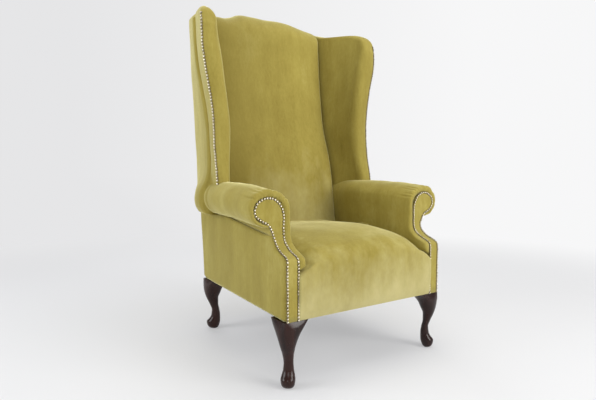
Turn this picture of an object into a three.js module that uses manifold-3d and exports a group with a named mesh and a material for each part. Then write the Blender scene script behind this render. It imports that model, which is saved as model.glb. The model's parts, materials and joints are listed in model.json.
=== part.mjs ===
// Wingback armchair: a beech frame on four cabriole legs, a sprung seat, padded arms, back and
// wings, velvet covers and rows of dome-headed nails.
// Millimetres, +Z up. The sitter faces -Y, and the sitter's left is +X.
import * as THREE from "three";
import { mergeVertices } from "three/addons/utils/BufferGeometryUtils.js";
import Module from "manifold-3d";

const wasm = await Module();
wasm.setup();

// Clearances and cloth
const fit = 0.3;
const cloth = 3;
const overrun = 60;

// Upholstered base: its front and rear planes, its half widths there and its lower edge
const baseFront = 420;
const baseRear = 301;
const baseHalfFront = 332;
const baseHalfRear = 288;
const baseBottom = 210;
const rearLeanShare = 0.1216;

const sideReach = baseHalfFront + 2 * overrun;

// Frame timber
const timber = 28;
const railHeight = 80;
const railLift = 3;
const postDepth = 40;
const postWidth = 41;
const blockHeight = 50;
const blockLeg = 74;
const blockNose = 8;
const lowerRailFoot = 420;
const lowerRailHeight = 48;
const crestRailHeight = 48;

// Arms: front board, scroll and roll. Stations run from the scroll to the rear plane, and say
// how far the roll's centre overhangs the wall, rises above the neck and swells there.
const facingThick = 4;
const facingBreak = 400;
const neckRise = 85;
const facingNeck = facingBreak + neckRise;
const scrollDepth = 90;
const armThick = 70;
const armRootThick = 26;
const rollBulge = 10;
const rollRadius = 62;
const rollOverhang = 25;
const rollRise = 75;
const grooveRise = 100;
const tuckRoll = 22;
const tuckInner = 30;
const tuckWall = 4;
const tuckDepth = 24;
const armRailWidth = 38;
const armRailHeight = 34;
const railBowShare = 0.6;
const railBowRise = 12;
const armPadThick = 40;
const neckPadThick = 12;
const deckHeight = 300;
const rollShares = [
  { along: 0, overhang: 1.02, rise: 0.75, radius: 0.98, groove: 0.62 },
  { along: 0.37, overhang: 0.99, rise: 1, radius: 1, groove: 0.82 },
  { along: 0.58, overhang: 0.77, rise: 1.07, radius: 0.97, groove: 0.98 },
  { along: 1, overhang: -0.14, rise: 0.75, radius: 0.55, groove: 1 },
];
const tuckShares = [
  { tuckShare: 1, aheadShare: 0 },
  { tuckShare: 0.35, aheadShare: 0.22 },
  { tuckShare: 0, aheadShare: 1 },
];
const grooveLeanShare = 0.25;
const waistShare = 0.4;

// Seat: its border and its crown. Each falls from its height in the middle to the side.
const seatBulge = 11;
const seatRear = 150;
const crownHeight = 463;
const crownDrop = 39;
const crownOverBrow = 39;
const crownOverTail = 23;
const browHeight = crownHeight - crownOverBrow;
const browDrop = 68;
const tailHeight = crownHeight - crownOverTail;
const tailDrop = 16;
const seatShares = [
  { across: 0, brow: 0, crown: 0, tail: 0 },
  { across: 0.41, brow: 0.04, crown: 0.1, tail: 0.06 },
  { across: 0.69, brow: 0.21, crown: 0.36, tail: 0.25 },
  { across: 0.84, brow: 0.43, crown: 0.67, tail: 0.56 },
  { across: 0.91, brow: 0.62, crown: 0.85, tail: 0.75 },
  { across: 1, brow: 1, crown: 1, tail: 1 },
];
const seatBorderShares = [
  { bulgeShare: 0, riseShare: 0 },
  { bulgeShare: 0.75, riseShare: 0.3 },
  { bulgeShare: 1, riseShare: 0.62 },
  { bulgeShare: 0.55, riseShare: 0.88 },
];
const seatBrowShares = [
  { reachShare: 0.6, riseShare: 0 },
  { reachShare: 2.2, riseShare: 0.55 },
  { reachShare: 4.4, riseShare: 0.92 },
];
const seatCrownShare = 0.52;
const seatFallShare = 0.8;

// Inside back: its front face at the side seam from foot to top, its crown and its crest
const wingRoot = 18;
const backCrown = 24;
const backFoot = 395;
const footY = 97;
const springY = 241;
const ridgeY = 325;
const crestSpring = 1225;
const crestRise = 110;
const backFillShare = 0.55;
const backFillRiseShare = 0.12;
const backShares = [
  { height: 0, depth: 0 },
  { height: 0.04, depth: 0.035 },
  { height: 0.15, depth: 0.13 },
  { height: 0.26, depth: 0.245 },
  { height: 0.404, depth: 0.48 },
  { height: 0.548, depth: 0.7 },
  { height: 0.73, depth: 0.84 },
  { height: 0.87, depth: 0.93 },
  { height: 1, depth: 1 },
];
const crestShares = [
  { across: 0, rise: 0.955 },
  { across: 0.22, rise: 0.98 },
  { across: 0.41, rise: 1 },
  { across: 0.555, rise: 0.91 },
  { across: 0.685, rise: 0.765 },
  { across: 0.835, rise: 0.72 },
  { across: 0.95, rise: 0.7 },
  { across: 1, rise: 0.645 },
];

// Wings: rows from foot to top say how far the nailed edge flares out and sweeps back, how
// thick the rolled front is and how far the rear band swells.
const wingFoot = facingBreak + grooveRise;
const heelRise = 65;
const wingHeel = wingFoot + heelRise;
const wingTop = 1268;
const wingFlare = 125;
const wingEdgeY = 2;
const wingSweep = 29;
const wingThick = 73;
const bandFlare = 16;
const wingBrowDrop = 40;
const wingBrowDepth = 62;
const wingSoft = 24;
const wingNose = 9;
const wingPostDepth = 37;
const wingPanelDepth = 15;
const wingPanelLip = 2;
const wingRowShares = [
  { height: 0, flare: 0.61, sweep: 0, thick: 0.75, band: 1 },
  { height: 0.156, flare: 0.615, sweep: 0.345, thick: 0.77, band: 0.62 },
  { height: 0.312, flare: 0.63, sweep: 0.83, thick: 0.85, band: 0.19 },
  { height: 0.443, flare: 0.68, sweep: 1, thick: 0.9, band: 0 },
  { height: 0.547, flare: 0.745, sweep: 0.9, thick: 0.93, band: 0 },
  { height: 0.656, flare: 0.855, sweep: 0.62, thick: 1, band: 0 },
  { height: 0.777, flare: 0.96, sweep: 0.345, thick: 1, band: 0 },
  { height: 0.857, flare: 0.99, sweep: 0.17, thick: 0.9, band: 0 },
  { height: 1, flare: 1, sweep: 0.035, thick: 0.835, band: 0 },
];
const wingTopShares = [
  { riseShare: -1, softShare: 0 },
  { riseShare: -0.3, softShare: 0.25 },
  { riseShare: 0, softShare: 0.7 },
];
const wingShares = {
  lip: 0.68,
  lipAhead: 0.7,
  roll: 0.94,
  rollBehind: 0.8,
  cheek: 0.6,
  hollowAcross: 0.45,
  hollowBack: 0.66,
  band: 0.55,
  wallAcross: 0.4,
  wallBack: 0.5,
  browBack: 0.86,
  tip: 0.3,
  spine: 0.35,
  browPad: 0.65,
};

// Springs, webbing and sheets
const springCount = 4;
const springPitch = 118;
const springWire = 4;
const springSway = 24;
const springWaves = 6;
const springWaveSteps = 6;
const webWidth = 52;
const webThick = 2;
const webShares = [0.25, 0.49, 0.73];
const sheetThick = 2;

// Legs: sections down the leg as shares of its height and of its square block, measured along
// the chair's diagonal and across it. The rear legs stand a little ahead of the rear plane.
const legBlock = 80;
const legInset = 2;
const rearLegAhead = 24;
const boltRadius = 4;
const boltInset = 8;
const boltDepth = 30;
const legShares = [
  { height: 1, back: 0.7, out: 0.7, across: 0.7, round: 1.02 },
  { height: 0.906, back: 0.34, out: 0.72, across: 0.61, round: 1.16 },
  { height: 0.82, back: 0.125, out: 0.71, across: 0.49, round: 1.5 },
  { height: 0.74, back: 0, out: 0.675, across: 0.36, round: 1.8 },
  { height: 0.62, back: -0.12, out: 0.59, across: 0.256, round: 2 },
  { height: 0.486, back: -0.13, out: 0.44, across: 0.18, round: 2 },
  { height: 0.372, back: -0.075, out: 0.36, across: 0.16, round: 2 },
  { height: 0.238, back: -0.04, out: 0.41, across: 0.2, round: 2 },
  { height: 0.143, back: -0.04, out: 0.59, across: 0.244, round: 2 },
  { height: 0.048, back: -0.11, out: 0.56, across: 0.24, round: 2 },
  { height: 0, back: -0.175, out: 0.475, across: 0.175, round: 2 },
];
const legSides = 12;

// Nails
const nailPitch = 9.8;
const nailRadius = 4.7;
const nailHeight = 2.6;
const nailNeckShare = 0.45;
const nailInset = 6;
const edgeNormalShare = 0.91;

// Materials
function finish(color, roughness, metalness) {
  return new THREE.MeshStandardMaterial({ color, roughness, metalness });
}
const velvet = finish(0xb7ab61, 0.85, 0);
const foam = finish(0xe6dcb4, 0.95, 0);
const beech = finish(0xc9a777, 0.7, 0);
const mahogany = finish(0x3c3231, 0.3, 0);
const springSteel = finish(0x8a8c8f, 0.4, 1);
const webbing = finish(0xa88f68, 0.9, 0);
const lining = finish(0x1e1d1c, 0.95, 0);
const antiqueBrass = finish(0xb9a98a, 0.35, 1);

// Number helpers
function clampUnit(value) {
  return Math.min(1, Math.max(0, value));
}
function mix(from, to, share) {
  return from + (to - from) * share;
}
function readTable(rows, keyName, key, name) {
  const last = rows.length - 1;
  let row = 0;
  while (row < last - 1 && rows[row + 1][keyName] < key) row += 1;
  const share = (key - rows[row][keyName]) / (rows[row + 1][keyName] - rows[row][keyName]);
  return mix(rows[row][name], rows[row + 1][name], clampUnit(share));
}

// At a depth: the outer side wall of the base and the arm's inner face. At a height: the
// leaning rear plane and the inside back's face at its side seam.
function depthShare(y) {
  return (y + baseFront) / (baseRear + baseFront);
}
function wallX(y) {
  return mix(baseHalfFront, baseHalfRear, depthShare(y));
}
function innerX(y) {
  return mix(baseHalfFront - armThick, baseHalfRear - armRootThick, depthShare(y));
}
function rearY(z) {
  return baseRear + rearLeanShare * (z - baseBottom);
}
function seamY(z) {
  const height = (z - backFoot) / (crestSpring - backFoot);
  return mix(footY, springY, readTable(backShares, "height", height, "depth"));
}
const seamHalf = baseHalfRear - wingRoot;
const backHalf = seamHalf - fit;
const boardInner = innerX(armFront(facingNeck)) + tuckInner;
const seatHalf = boardInner - fit;

// Moves each corner of a closed outline inwards, keeping its edges parallel
function insetOutline(outline, inset) {
  const count = outline.length;
  let area = 0;
  for (let i = 0; i < count; i += 1) {
    const [ax, ay] = outline[i];
    const [bx, by] = outline[(i + 1) % count];
    area += ax * by - bx * ay;
  }
  const turn = Math.sign(area);
  const normals = outline.map(([ax, ay], i) => {
    const [bx, by] = outline[(i + 1) % count];
    const length = Math.hypot(bx - ax, by - ay);
    return [(-turn * (by - ay)) / length, (turn * (bx - ax)) / length];
  });
  return outline.map(([x, y], i) => {
    const [px, py] = normals[(i + count - 1) % count];
    const [nx, ny] = normals[i];
    const spread = 1 + px * nx + py * ny;
    return [x + (inset * (px + nx)) / spread, y + (inset * (py + ny)) / spread];
  });
}

// Cap triangles of an outline: a fan from its last corner, or a ladder
function fanCap(count) {
  const apex = count - 1;
  return Array.from({ length: count - 2 }, (_, i) => [apex, i, i + 1]);
}
function ladderCap(count) {
  const triangles = [];
  for (let i = 0; i + 1 < count / 2; i += 1) {
    const mate = count - 1 - i;
    triangles.push([i, i + 1, mate - 1], [i, mate - 1, mate]);
  }
  return triangles;
}

// Closed body through rings of [x, y, z] points
function loft(rings, capTriangles) {
  const size = rings[0].length;
  const index = [];
  for (let ring = 0; ring + 1 < rings.length; ring += 1) {
    for (let i = 0; i < size; i += 1) {
      const near = ring * size + i;
      const next = ring * size + ((i + 1) % size);
      index.push(near, next, next + size, near, next + size, near + size);
    }
  }
  const last = (rings.length - 1) * size;
  for (const [a, b, c] of capTriangles) {
    index.push(c, b, a, last + a, last + b, last + c);
  }
  return solidFrom(new Float32Array(rings.flat(2)), new Uint32Array(index));
}
function signedVolume(positions, index) {
  const corners = [new THREE.Vector3(), new THREE.Vector3(), new THREE.Vector3()];
  let volume = 0;
  for (let i = 0; i < index.length; i += 3) {
    corners.forEach((corner, k) => corner.fromArray(positions, index[i + k] * 3));
    volume += corners[0].dot(corners[1].clone().cross(corners[2]));
  }
  return volume;
}
function solidFrom(positions, index) {
  const triVerts = signedVolume(positions, index) < 0 ? index.slice().reverse() : index;
  return new wasm.Manifold(new wasm.Mesh({ numProp: 3, vertProperties: positions, triVerts }));
}
function solidOf(geometry) {
  const bare = geometry.clone();
  bare.deleteAttribute("normal");
  bare.deleteAttribute("uv");
  const merged = mergeVertices(bare);
  return solidFrom(merged.attributes.position.array, new Uint32Array(merged.index.array));
}
function geometryOf(solid) {
  const { vertProperties, triVerts } = solid.getMesh();
  const geometry = new THREE.BufferGeometry();
  geometry.setAttribute("position", new THREE.BufferAttribute(vertProperties, 3));
  geometry.setIndex(new THREE.BufferAttribute(triVerts, 1));
  geometry.computeVertexNormals();
  return geometry;
}

// Straight pieces: a block between two corners, and a bar between two four-cornered ends
function block([lowX, lowY, lowZ], [highX, highY, highZ]) {
  const geometry = new THREE.BoxGeometry(highX - lowX, highY - lowY, highZ - lowZ);
  geometry.translate((lowX + highX) / 2, (lowY + highY) / 2, (lowZ + highZ) / 2);
  return solidOf(geometry);
}
function bar(rings) {
  return loft(rings, ladderCap(rings[0].length));
}
function flipX(solid) {
  return solid.mirror([1, 0, 0]);
}
function bothSides(solid) {
  return solid.add(flipX(solid));
}

// Arm section at a station: up the outer wall, round the roll and down the inner face.
// A tuck of 1 is the outline of the front board, a tuck of 0 the padded outline.
const lobeStartAngle = (-108 * Math.PI) / 180;
const quarterTurn = Math.PI / 2;
const lobePoints = 8;
const armSectionSize = 24;
function armSection(station, inset, tuck, floor) {
  const { y, lobeX, lobeZ, lobeR, groove } = station;
  const radius = lobeR - tuckRoll * tuck;
  const wall = wallX(y) - tuckWall * tuck;
  const inner = innerX(y) + tuckInner * tuck;
  const reach = lobeX - innerX(y) + rollBulge - tuckInner * tuck;
  const neck = groove + tuckRoll * tuck;
  const outline = [
    [wall, floor],
    [wall, facingBreak],
    [wall + tuckWall * tuck, mix(facingBreak, neck, 0.5)],
    [wall - (neck - groove) * grooveLeanShare, neck],
  ];
  for (let i = 0; i < lobePoints; i += 1) {
    const angle = mix(lobeStartAngle, quarterTurn, i / (lobePoints - 1));
    outline.push([lobeX + radius * Math.cos(angle), lobeZ + radius * Math.sin(angle)]);
  }
  for (let i = 1; i <= lobePoints - 1; i += 1) {
    const angle = mix(quarterTurn, 2 * quarterTurn, i / (lobePoints - 1));
    outline.push([lobeX + reach * Math.cos(angle), lobeZ + radius * Math.sin(angle)]);
  }
  outline.push(
    [mix(lobeX - reach, inner, waistShare), facingNeck],
    [inner, mix(facingBreak, facingNeck, 0.5)],
    [inner, facingBreak],
    [inner, mix(floor, facingBreak, 0.5)],
    [inner, floor],
  );
  return insetOutline(outline, inset);
}

// Front plane of the arm: upright, leaning back above the break, upright again at the scroll
function armFront(z) {
  const share = clampUnit((z - facingBreak) / neckRise);
  return -baseFront + facingThick + fit + scrollDepth * share;
}

// Stations of the roll
const rollStations = rollShares.map(({ along, overhang, rise, radius, groove }) => {
  const lobeZ = facingNeck + rollRise * rise;
  const y = mix(armFront(facingNeck), rearY(lobeZ), along);
  return {
    along,
    y,
    lobeX: wallX(y) + rollOverhang * overhang,
    lobeZ,
    lobeR: rollRadius * radius,
    groove: facingBreak + grooveRise * groove,
  };
});

// The padded arm as one volume. An inset shrinks it all round, a negative one grows it.
function armForm(inset) {
  const [front, middle, behind, end] = rollStations;
  const steps = tuckShares.map(({ tuckShare, aheadShare }) => {
    return { station: front, tuck: tuckShare, ahead: tuckDepth * aheadShare };
  });
  for (const station of [middle, behind, end]) steps.push({ station, tuck: 0, ahead: 0 });
  const rings = steps.map(({ station, tuck, ahead }, step) => {
    const section = armSection(station, inset, tuck, baseBottom);
    const along = step === 0 ? inset : step === steps.length - 1 ? -inset : 0;
    return section.map(([x, z], corner) => {
      const y = mix(armFront(z), rearY(z), station.along) + ahead + along;
      const wallShift = corner < 4 ? wallX(y) - wallX(station.y) : 0;
      return [x + wallShift, y, z];
    });
  });
  return loft(rings, ladderCap(armSectionSize));
}

// Region outside the arm below the groove of the roll, where the outside panel lies
function armPanelRegion(clearance) {
  const [front, middle, behind, end] = rollStations;
  const stops = [
    { y: -baseFront - overrun, groove: front.groove },
    { y: front.y, groove: front.groove },
    { y: middle.y, groove: middle.groove },
    { y: behind.y, groove: behind.groove },
    { y: baseRear + overrun, groove: end.groove },
  ];
  const rings = stops.map(({ y, groove }) => {
    const near = wallX(y) - timber / 2 + clearance;
    const far = wallX(y) + overrun;
    const top = groove - fit - clearance;
    return [
      [near, y, baseBottom - overrun],
      [far, y, baseBottom - overrun],
      [far, y, top],
      [near, y, top],
    ];
  });
  return bar(rings);
}

// Rows from the middle to the side, joined to their mirror images
function mirrored(half) {
  const flipped = [...half].reverse().map((row) => ({ ...row, x: -row.x }));
  return [...flipped, ...half.slice(1)];
}

// Seat block: a crowned top that runs over a soft brow into the front border
function seatForm(inset) {
  const half = seatShares.map(({ across, brow, crown, tail }) => {
    return {
      x: seatHalf * across,
      brow: browHeight - browDrop * brow,
      crown: crownHeight - crownDrop * crown,
      rear: tailHeight - tailDrop * tail,
    };
  });
  const stations = mirrored(half);
  const last = stations.length - 1;
  const rings = stations.map(({ x, brow, crown, rear }, step) => {
    const bulge = (seatBulge * brow) / browHeight;
    const front = -baseFront;
    const soft = crown - brow;
    const outline = seatBorderShares.map(({ bulgeShare, riseShare }) => {
      return [front - bulge * bulgeShare, mix(baseBottom, brow, riseShare)];
    });
    seatBrowShares.forEach(({ reachShare, riseShare }) => {
      outline.push([front + soft * reachShare, mix(brow, crown, riseShare)]);
    });
    outline.push(
      [mix(front, seatRear, seatCrownShare), crown],
      [mix(front, seatRear, seatFallShare), mix(rear, crown, 0.5)],
      [seatRear, rear],
      [seatRear, baseBottom],
    );
    const along = step === 0 ? inset : step === last ? -inset : 0;
    return insetOutline(outline, inset).map(([y, z]) => [x + along, y, z]);
  });
  return loft(rings, fanCap(rings[0].length));
}

// Inside back: sections across the width, from the foot up the face and over the crest
const crestAngles = [150, 120, 90, 60, 30].map((degrees) => (degrees * Math.PI) / 180);
function backForm(inset) {
  const crest = crestShares.map(({ across, rise }) => {
    return { x: backHalf * across, z: crestSpring + crestRise * rise };
  });
  const stations = mirrored(crest);
  const last = stations.length - 1;
  const rings = stations.map(({ x, z: top }, step) => {
    const across = Math.abs(x) / backHalf;
    const outline = backShares.map(({ height }) => {
      const z = mix(backFoot, crestSpring, height);
      const fill = mix(Math.sin(Math.PI * clampUnit(height + backFillRiseShare)), 1, backFillShare);
      return [seamY(z) - backCrown * fill * (1 - across ** 3), z];
    });
    const faceTop = outline[outline.length - 1][0];
    const rearTop = rearY(crestSpring);
    crestAngles.forEach((angle) => {
      const reach = Math.cos(angle) < 0 ? ridgeY - faceTop : rearTop - ridgeY;
      const lift = (top - crestSpring) * Math.sin(angle);
      outline.push([ridgeY + reach * Math.cos(angle), crestSpring + lift]);
    });
    outline.push([rearTop, crestSpring], [rearY(backFoot), backFoot]);
    const along = step === 0 ? inset : step === last ? -inset : 0;
    return insetOutline(outline, inset).map(([y, z]) => [x + along, y, z]);
  });
  return loft(rings, fanCap(rings[0].length));
}

// Leaning slab between two distances ahead of the rear plane
function rearSlab(halfWidth, ahead, behind, lowZ, highZ) {
  const rings = [lowZ, highZ].map((z) => [
    [-halfWidth, rearY(z) - ahead, z],
    [halfWidth, rearY(z) - ahead, z],
    [halfWidth, rearY(z) - behind, z],
    [-halfWidth, rearY(z) - behind, z],
  ]);
  return bar(rings);
}

// Wing: horizontal outlines from the foot to a soft top that falls towards the front
function wingRow(z) {
  const height = (z - wingFoot) / (wingTop - wingFoot);
  const read = (name) => readTable(wingRowShares, "height", height, name);
  const edgeX = baseHalfRear + wingFlare * read("flare");
  return {
    z,
    edgeX,
    edgeY: wingEdgeY + wingSweep * read("sweep"),
    innerX: edgeX - wingThick * read("thick"),
    bandX: baseHalfRear + bandFlare * read("band"),
  };
}
const wingHeights = wingRowShares.map(({ height }) => mix(wingFoot, wingTop, height));
function wingOutline({ z, edgeX, edgeY, innerX, bandX }) {
  const thick = edgeX - innerX;
  const rear = rearY(z);
  const share = wingShares;
  return [
    [edgeX - thick * share.lip, edgeY - wingNose * share.lipAhead],
    [edgeX - thick * share.roll, edgeY + wingNose * share.rollBehind],
    [innerX, edgeY + thick * share.cheek],
    [mix(innerX, seamHalf, share.hollowAcross), mix(edgeY, seamY(z), share.hollowBack)],
    [seamHalf, seamY(z)],
    [seamHalf, rear],
    [bandX, rear],
    [bandX + wingNose, rear - thick * share.band],
    [mix(bandX, edgeX, share.wallAcross), mix(rear, edgeY, share.wallBack)],
    [mix(bandX, edgeX, share.browBack), mix(rear, edgeY, share.browBack)],
    [edgeX, edgeY],
    [edgeX - thick * share.tip, edgeY - wingNose],
  ];
}
function nearestOnSpine({ z, edgeX, edgeY, innerX }, x, y) {
  const thick = edgeX - innerX;
  const front = new THREE.Vector3(edgeX - thick / 2, edgeY + thick * wingShares.spine, 0);
  const rear = new THREE.Vector3((backHalf + baseHalfRear + wingNose) / 2, rearY(z) - wingNose, 0);
  const nearest = new THREE.Vector3();
  new THREE.Line3(front, rear).closestPointToPoint(new THREE.Vector3(x, y, 0), true, nearest);
  return [nearest.x, nearest.y];
}
function wingForm(inset, footRun = 0) {
  const heights = wingHeights.slice(0, -1).map((z) => ({ z, rise: 0, softShare: 0 }));
  wingTopShares.forEach(({ riseShare, softShare }) => {
    heights.push({ z: wingTop, rise: wingSoft * riseShare, softShare });
  });
  const rings = heights.map(({ z, rise, softShare }, step) => {
    const row = wingRow(z);
    const outline = insetOutline(wingOutline(row), inset);
    const along = step === 0 ? inset - footRun : step === heights.length - 1 ? -inset : 0;
    return outline.map(([x, y]) => {
      const forward = 1 - clampUnit((y - row.edgeY) / wingBrowDepth);
      const drop = z === wingTop ? wingBrowDrop * forward ** 2 : 0;
      const [spineX, spineY] = nearestOnSpine(row, x, y);
      return [mix(x, spineX, softShare), mix(y, spineY, softShare), z + rise - drop + along];
    });
  });
  return bar(rings);
}

// Region behind and outside the wing's middle, where the outside panel lies
function wingPanelRegion(clearance) {
  const rings = [wingFoot - overrun, ...wingHeights, wingTop + overrun].map((z) => {
    const { edgeX, edgeY, bandX } = wingRow(z);
    const rear = rearY(z);
    const { wallAcross, wallBack } = wingShares;
    const inner = [
      [edgeX - wingPanelLip + clearance, edgeY - overrun],
      [edgeX - wingPanelLip + clearance, edgeY - wingPanelLip],
      [edgeX - wingPanelDepth + clearance, edgeY + wingPanelDepth / 2],
      [mix(bandX, edgeX, wallAcross) - wingPanelDepth + clearance, mix(rear, edgeY, wallBack)],
      [baseHalfRear - wingPanelDepth / 2 + clearance, rear - timber],
      [baseHalfRear - wingPanelDepth / 2 + clearance, rear + overrun],
    ];
    const outer = inner.map(([, y]) => [edgeX + overrun, y]).reverse();
    return [...inner, ...outer].map(([x, y]) => [x, y, z]);
  });
  return bar(rings);
}

// Timber pieces. A grown piece is what its neighbours are cut with.
const railBottom = baseBottom + railLift;
const railTop = railBottom + railHeight;
const wallSkin = cloth + fit;
function sideRail(grow) {
  const firstY = armFront(baseBottom) + wallSkin + timber + fit;
  const lastY = rearY(baseBottom) - wallSkin - postDepth - fit;
  const rings = [firstY - grow, lastY + grow].map((y) => {
    const outer = wallX(y) - wallSkin + grow;
    const inner = wallX(y) - wallSkin - timber - grow;
    return [
      [inner, y, railBottom - grow],
      [outer, y, railBottom - grow],
      [outer, y, railTop + grow],
      [inner, y, railTop + grow],
    ];
  });
  return bar(rings);
}
function boardRing(inset, depth, floor) {
  const station = rollStations[0];
  return armSection(station, inset, 1, floor).map(([x, z], corner) => {
    const y = armFront(z) + depth;
    const wallShift = corner < 4 ? wallX(y) - wallX(station.y) : 0;
    return [x + wallShift, y, z];
  });
}
function armPost(grow) {
  const inset = facingThick - grow;
  const floor = railBottom - facingThick;
  return bar([wallSkin - grow, wallSkin + timber + grow].map((depth) => boardRing(inset, depth, floor)));
}
function armFacing(grow) {
  const depths = [-fit - facingThick - grow, grow - fit];
  return bar(depths.map((depth) => boardRing(fit - grow, depth, baseBottom)));
}
function postX() {
  return wallX(rearY(wingFoot)) - wallSkin;
}
const postTop = crestSpring;
function backPost(grow) {
  const rings = [railBottom - grow, postTop + grow].map((z) => [
    [postX() - postWidth - grow, rearY(z) - wallSkin - postDepth - grow, z],
    [postX() + grow, rearY(z) - wallSkin - postDepth - grow, z],
    [postX() + grow, rearY(z) - wallSkin + grow, z],
    [postX() - postWidth - grow, rearY(z) - wallSkin + grow, z],
  ]);
  return bar(rings);
}
function crossRail(lowZ, highZ, grow) {
  const half = postX() - postWidth - fit;
  return rearSlab(half + grow, wallSkin + postDepth + grow, wallSkin - grow, lowZ - grow, highZ + grow);
}
function armRailStops() {
  const [front, , , end] = rollStations;
  const rearZ = end.lobeZ + railBowRise;
  const firstY = armFront(facingNeck) + wallSkin + timber + fit;
  const lastY = rearY(rearZ - armRailHeight / 2) - wallSkin - postDepth - fit;
  const { edgeX, edgeY } = wingRow(wingHeights[1]);
  const middleY = edgeY + timber;
  const share = (middleY - firstY) / (lastY - firstY);
  return [
    { x: front.lobeX - armRailWidth / 4, y: firstY, z: front.lobeZ },
    { x: edgeX - cloth - armRailWidth * railBowShare, y: middleY, z: mix(front.lobeZ, rearZ, share) },
    { x: postX() - armRailWidth / 2, y: lastY, z: rearZ },
  ];
}
function armRail(grow) {
  const half = armRailWidth / 2 + grow;
  const tall = armRailHeight / 2 + grow;
  const stops = armRailStops();
  return bar(
    stops.map(({ x, y, z }, stop) => {
      const along = stop === 0 ? -grow : stop === stops.length - 1 ? grow : 0;
      return [
        [x - half, y + along, z - tall],
        [x + half, y + along, z - tall],
        [x + half, y + along, z + tall],
        [x - half, y + along, z + tall],
      ];
    }),
  );
}
function wingPostRing({ edgeX, edgeY }, z, grow) {
  const lean = (edgeX - baseHalfRear) / (rearY(z) - edgeY);
  const skin = cloth + fit * 3 - grow;
  const front = edgeY + wallSkin * 2;
  const outer = edgeX - skin - lean * wallSkin * 3;
  return [
    [outer - timber - 2 * grow, front - grow, z],
    [outer, front - grow, z],
    [outer - lean * wingPostDepth, front + wingPostDepth + grow, z],
    [outer - lean * wingPostDepth - timber - 2 * grow, front + wingPostDepth + grow, z],
  ];
}
const wingPostTop = wingTop - wingBrowDrop - timber - wingSoft;
function wingPost(grow) {
  const footZ = armRailStops()[1].z + armRailHeight / 2 + 3 * fit - grow;
  const heights = [footZ, ...wingHeights.slice(1, -2), wingPostTop + grow];
  return bar(heights.map((z) => wingPostRing(wingRow(z), z, grow)));
}
function wingTopRail(grow) {
  const low = wingPostTop + fit - grow;
  const high = wingPostTop + timber + grow;
  const row = wingRow(wingPostTop);
  const ring = wingPostRing(row, wingPostTop, grow);
  const rear = rearY(low) - wallSkin - postDepth - fit + grow;
  const rearX = postX() + grow;
  const outline = [ring[0], ring[1], [rearX, rear], [rearX - timber - 2 * grow, rear]];
  return bar([low, high].map((z) => outline.map(([x, y]) => [x, y, z])));
}

// Corner blocks, screwed inside the seat frame, and the bolts that hold the legs to them
function sideRailInner(y) {
  return wallX(y) - wallSkin - timber - fit;
}
const frontRailRear = -baseFront + facingThick + 2 * fit + timber;
const frontRailHalf = boardInner + facingThick - 2 * fit;
const rearRailFront = rearY(baseBottom) - wallSkin - postDepth;
const blockCorners = {
  front: { x: frontRailHalf - fit, y: frontRailRear + fit, turn: 1 },
  rear: { x: sideRailInner(baseRear - postDepth), y: rearRailFront - fit, turn: -1 },
};
const legTop = baseBottom - fit;
function boltPlace({ x, y, turn }) {
  return [x - boltInset - boltRadius, y + turn * (boltInset + boltRadius)];
}
function boltSolid(corner, grow) {
  const [x, y] = boltPlace(corner);
  const low = legTop - boltDepth - grow;
  const high = railBottom + blockHeight - boltRadius + grow;
  const geometry = new THREE.CylinderGeometry(boltRadius + grow, boltRadius + grow, high - low, legSides);
  geometry.rotateX(Math.PI / 2);
  geometry.translate(x, y, (high + low) / 2);
  return solidOf(geometry);
}
function cornerBlock(corner) {
  const { x, y, turn } = corner;
  const far = y + turn * blockLeg;
  const farX = Math.min(x, sideRailInner(far));
  const outline = [
    [x, y],
    [x - blockLeg, y],
    [x - blockLeg, y + turn * blockNose],
    [farX - blockNose, far],
    [farX, far],
  ];
  const heights = [railBottom, railBottom + blockHeight];
  const rings = heights.map((z) => outline.map(([px, py]) => [px, py, z]));
  return loft(rings, fanCap(outline.length)).subtract(boltSolid(corner, fit));
}

// Cabriole leg: sections that start square under the corner and end in a pad foot.
// The leg's diagonal points out of the chair's corner.
const legCorners = {
  front: { x: wallX(-baseFront) - legInset, y: -baseFront + legInset, turn: -1 },
  rear: { x: wallX(baseRear) - legInset, y: baseRear - rearLegAhead, turn: 1 },
};
function cabrioleLeg(place) {
  const { x, y, turn } = legCorners[place];
  const centreX = x - legBlock / 2;
  const centreY = y - (turn * legBlock) / 2;
  const rings = legShares.map(({ height, back, out, across, round }) =>
    Array.from({ length: legSides }, (_, side) => {
      const angle = (side / legSides) * 2 * Math.PI;
      const [cosine, sine] = [Math.cos(angle), Math.sin(angle)];
      const spread = Math.sign(cosine) * Math.abs(cosine) ** (2 / round);
      const along = legBlock * mix(-back, out, (spread + 1) / 2) * Math.SQRT1_2;
      const aside = legBlock * across * Math.sign(sine) * Math.abs(sine) ** (2 / round) * Math.SQRT1_2;
      return [centreX + along - aside, centreY + turn * (along + aside), legTop * height];
    }),
  );
  return loft(rings, fanCap(legSides)).subtract(boltSolid(blockCorners[place], fit));
}

// Serpentine springs lie on the front and rear rails, side by side
function seatSpring(x) {
  const firstY = frontRailRear - timber / 2;
  const lastY = rearY(railTop) - wallSkin - postDepth / 2;
  const z = railTop + fit + springWire / 2;
  const turns = springWaves * 4;
  const points = Array.from({ length: turns + 1 }, (_, step) => {
    const share = step / turns;
    const sway = springSway * Math.sin(share * springWaves * 2 * Math.PI);
    return new THREE.Vector3(x + sway, mix(firstY, lastY, share), z);
  });
  const wire = new THREE.Shape();
  wire.absarc(0, 0, springWire / 2, 0, 2 * Math.PI);
  const geometry = new THREE.ExtrudeGeometry(wire, {
    steps: springWaves * springWaveSteps,
    curveSegments: 3,
    extrudePath: new THREE.CatmullRomCurve3(points),
  });
  return solidOf(geometry);
}

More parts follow.
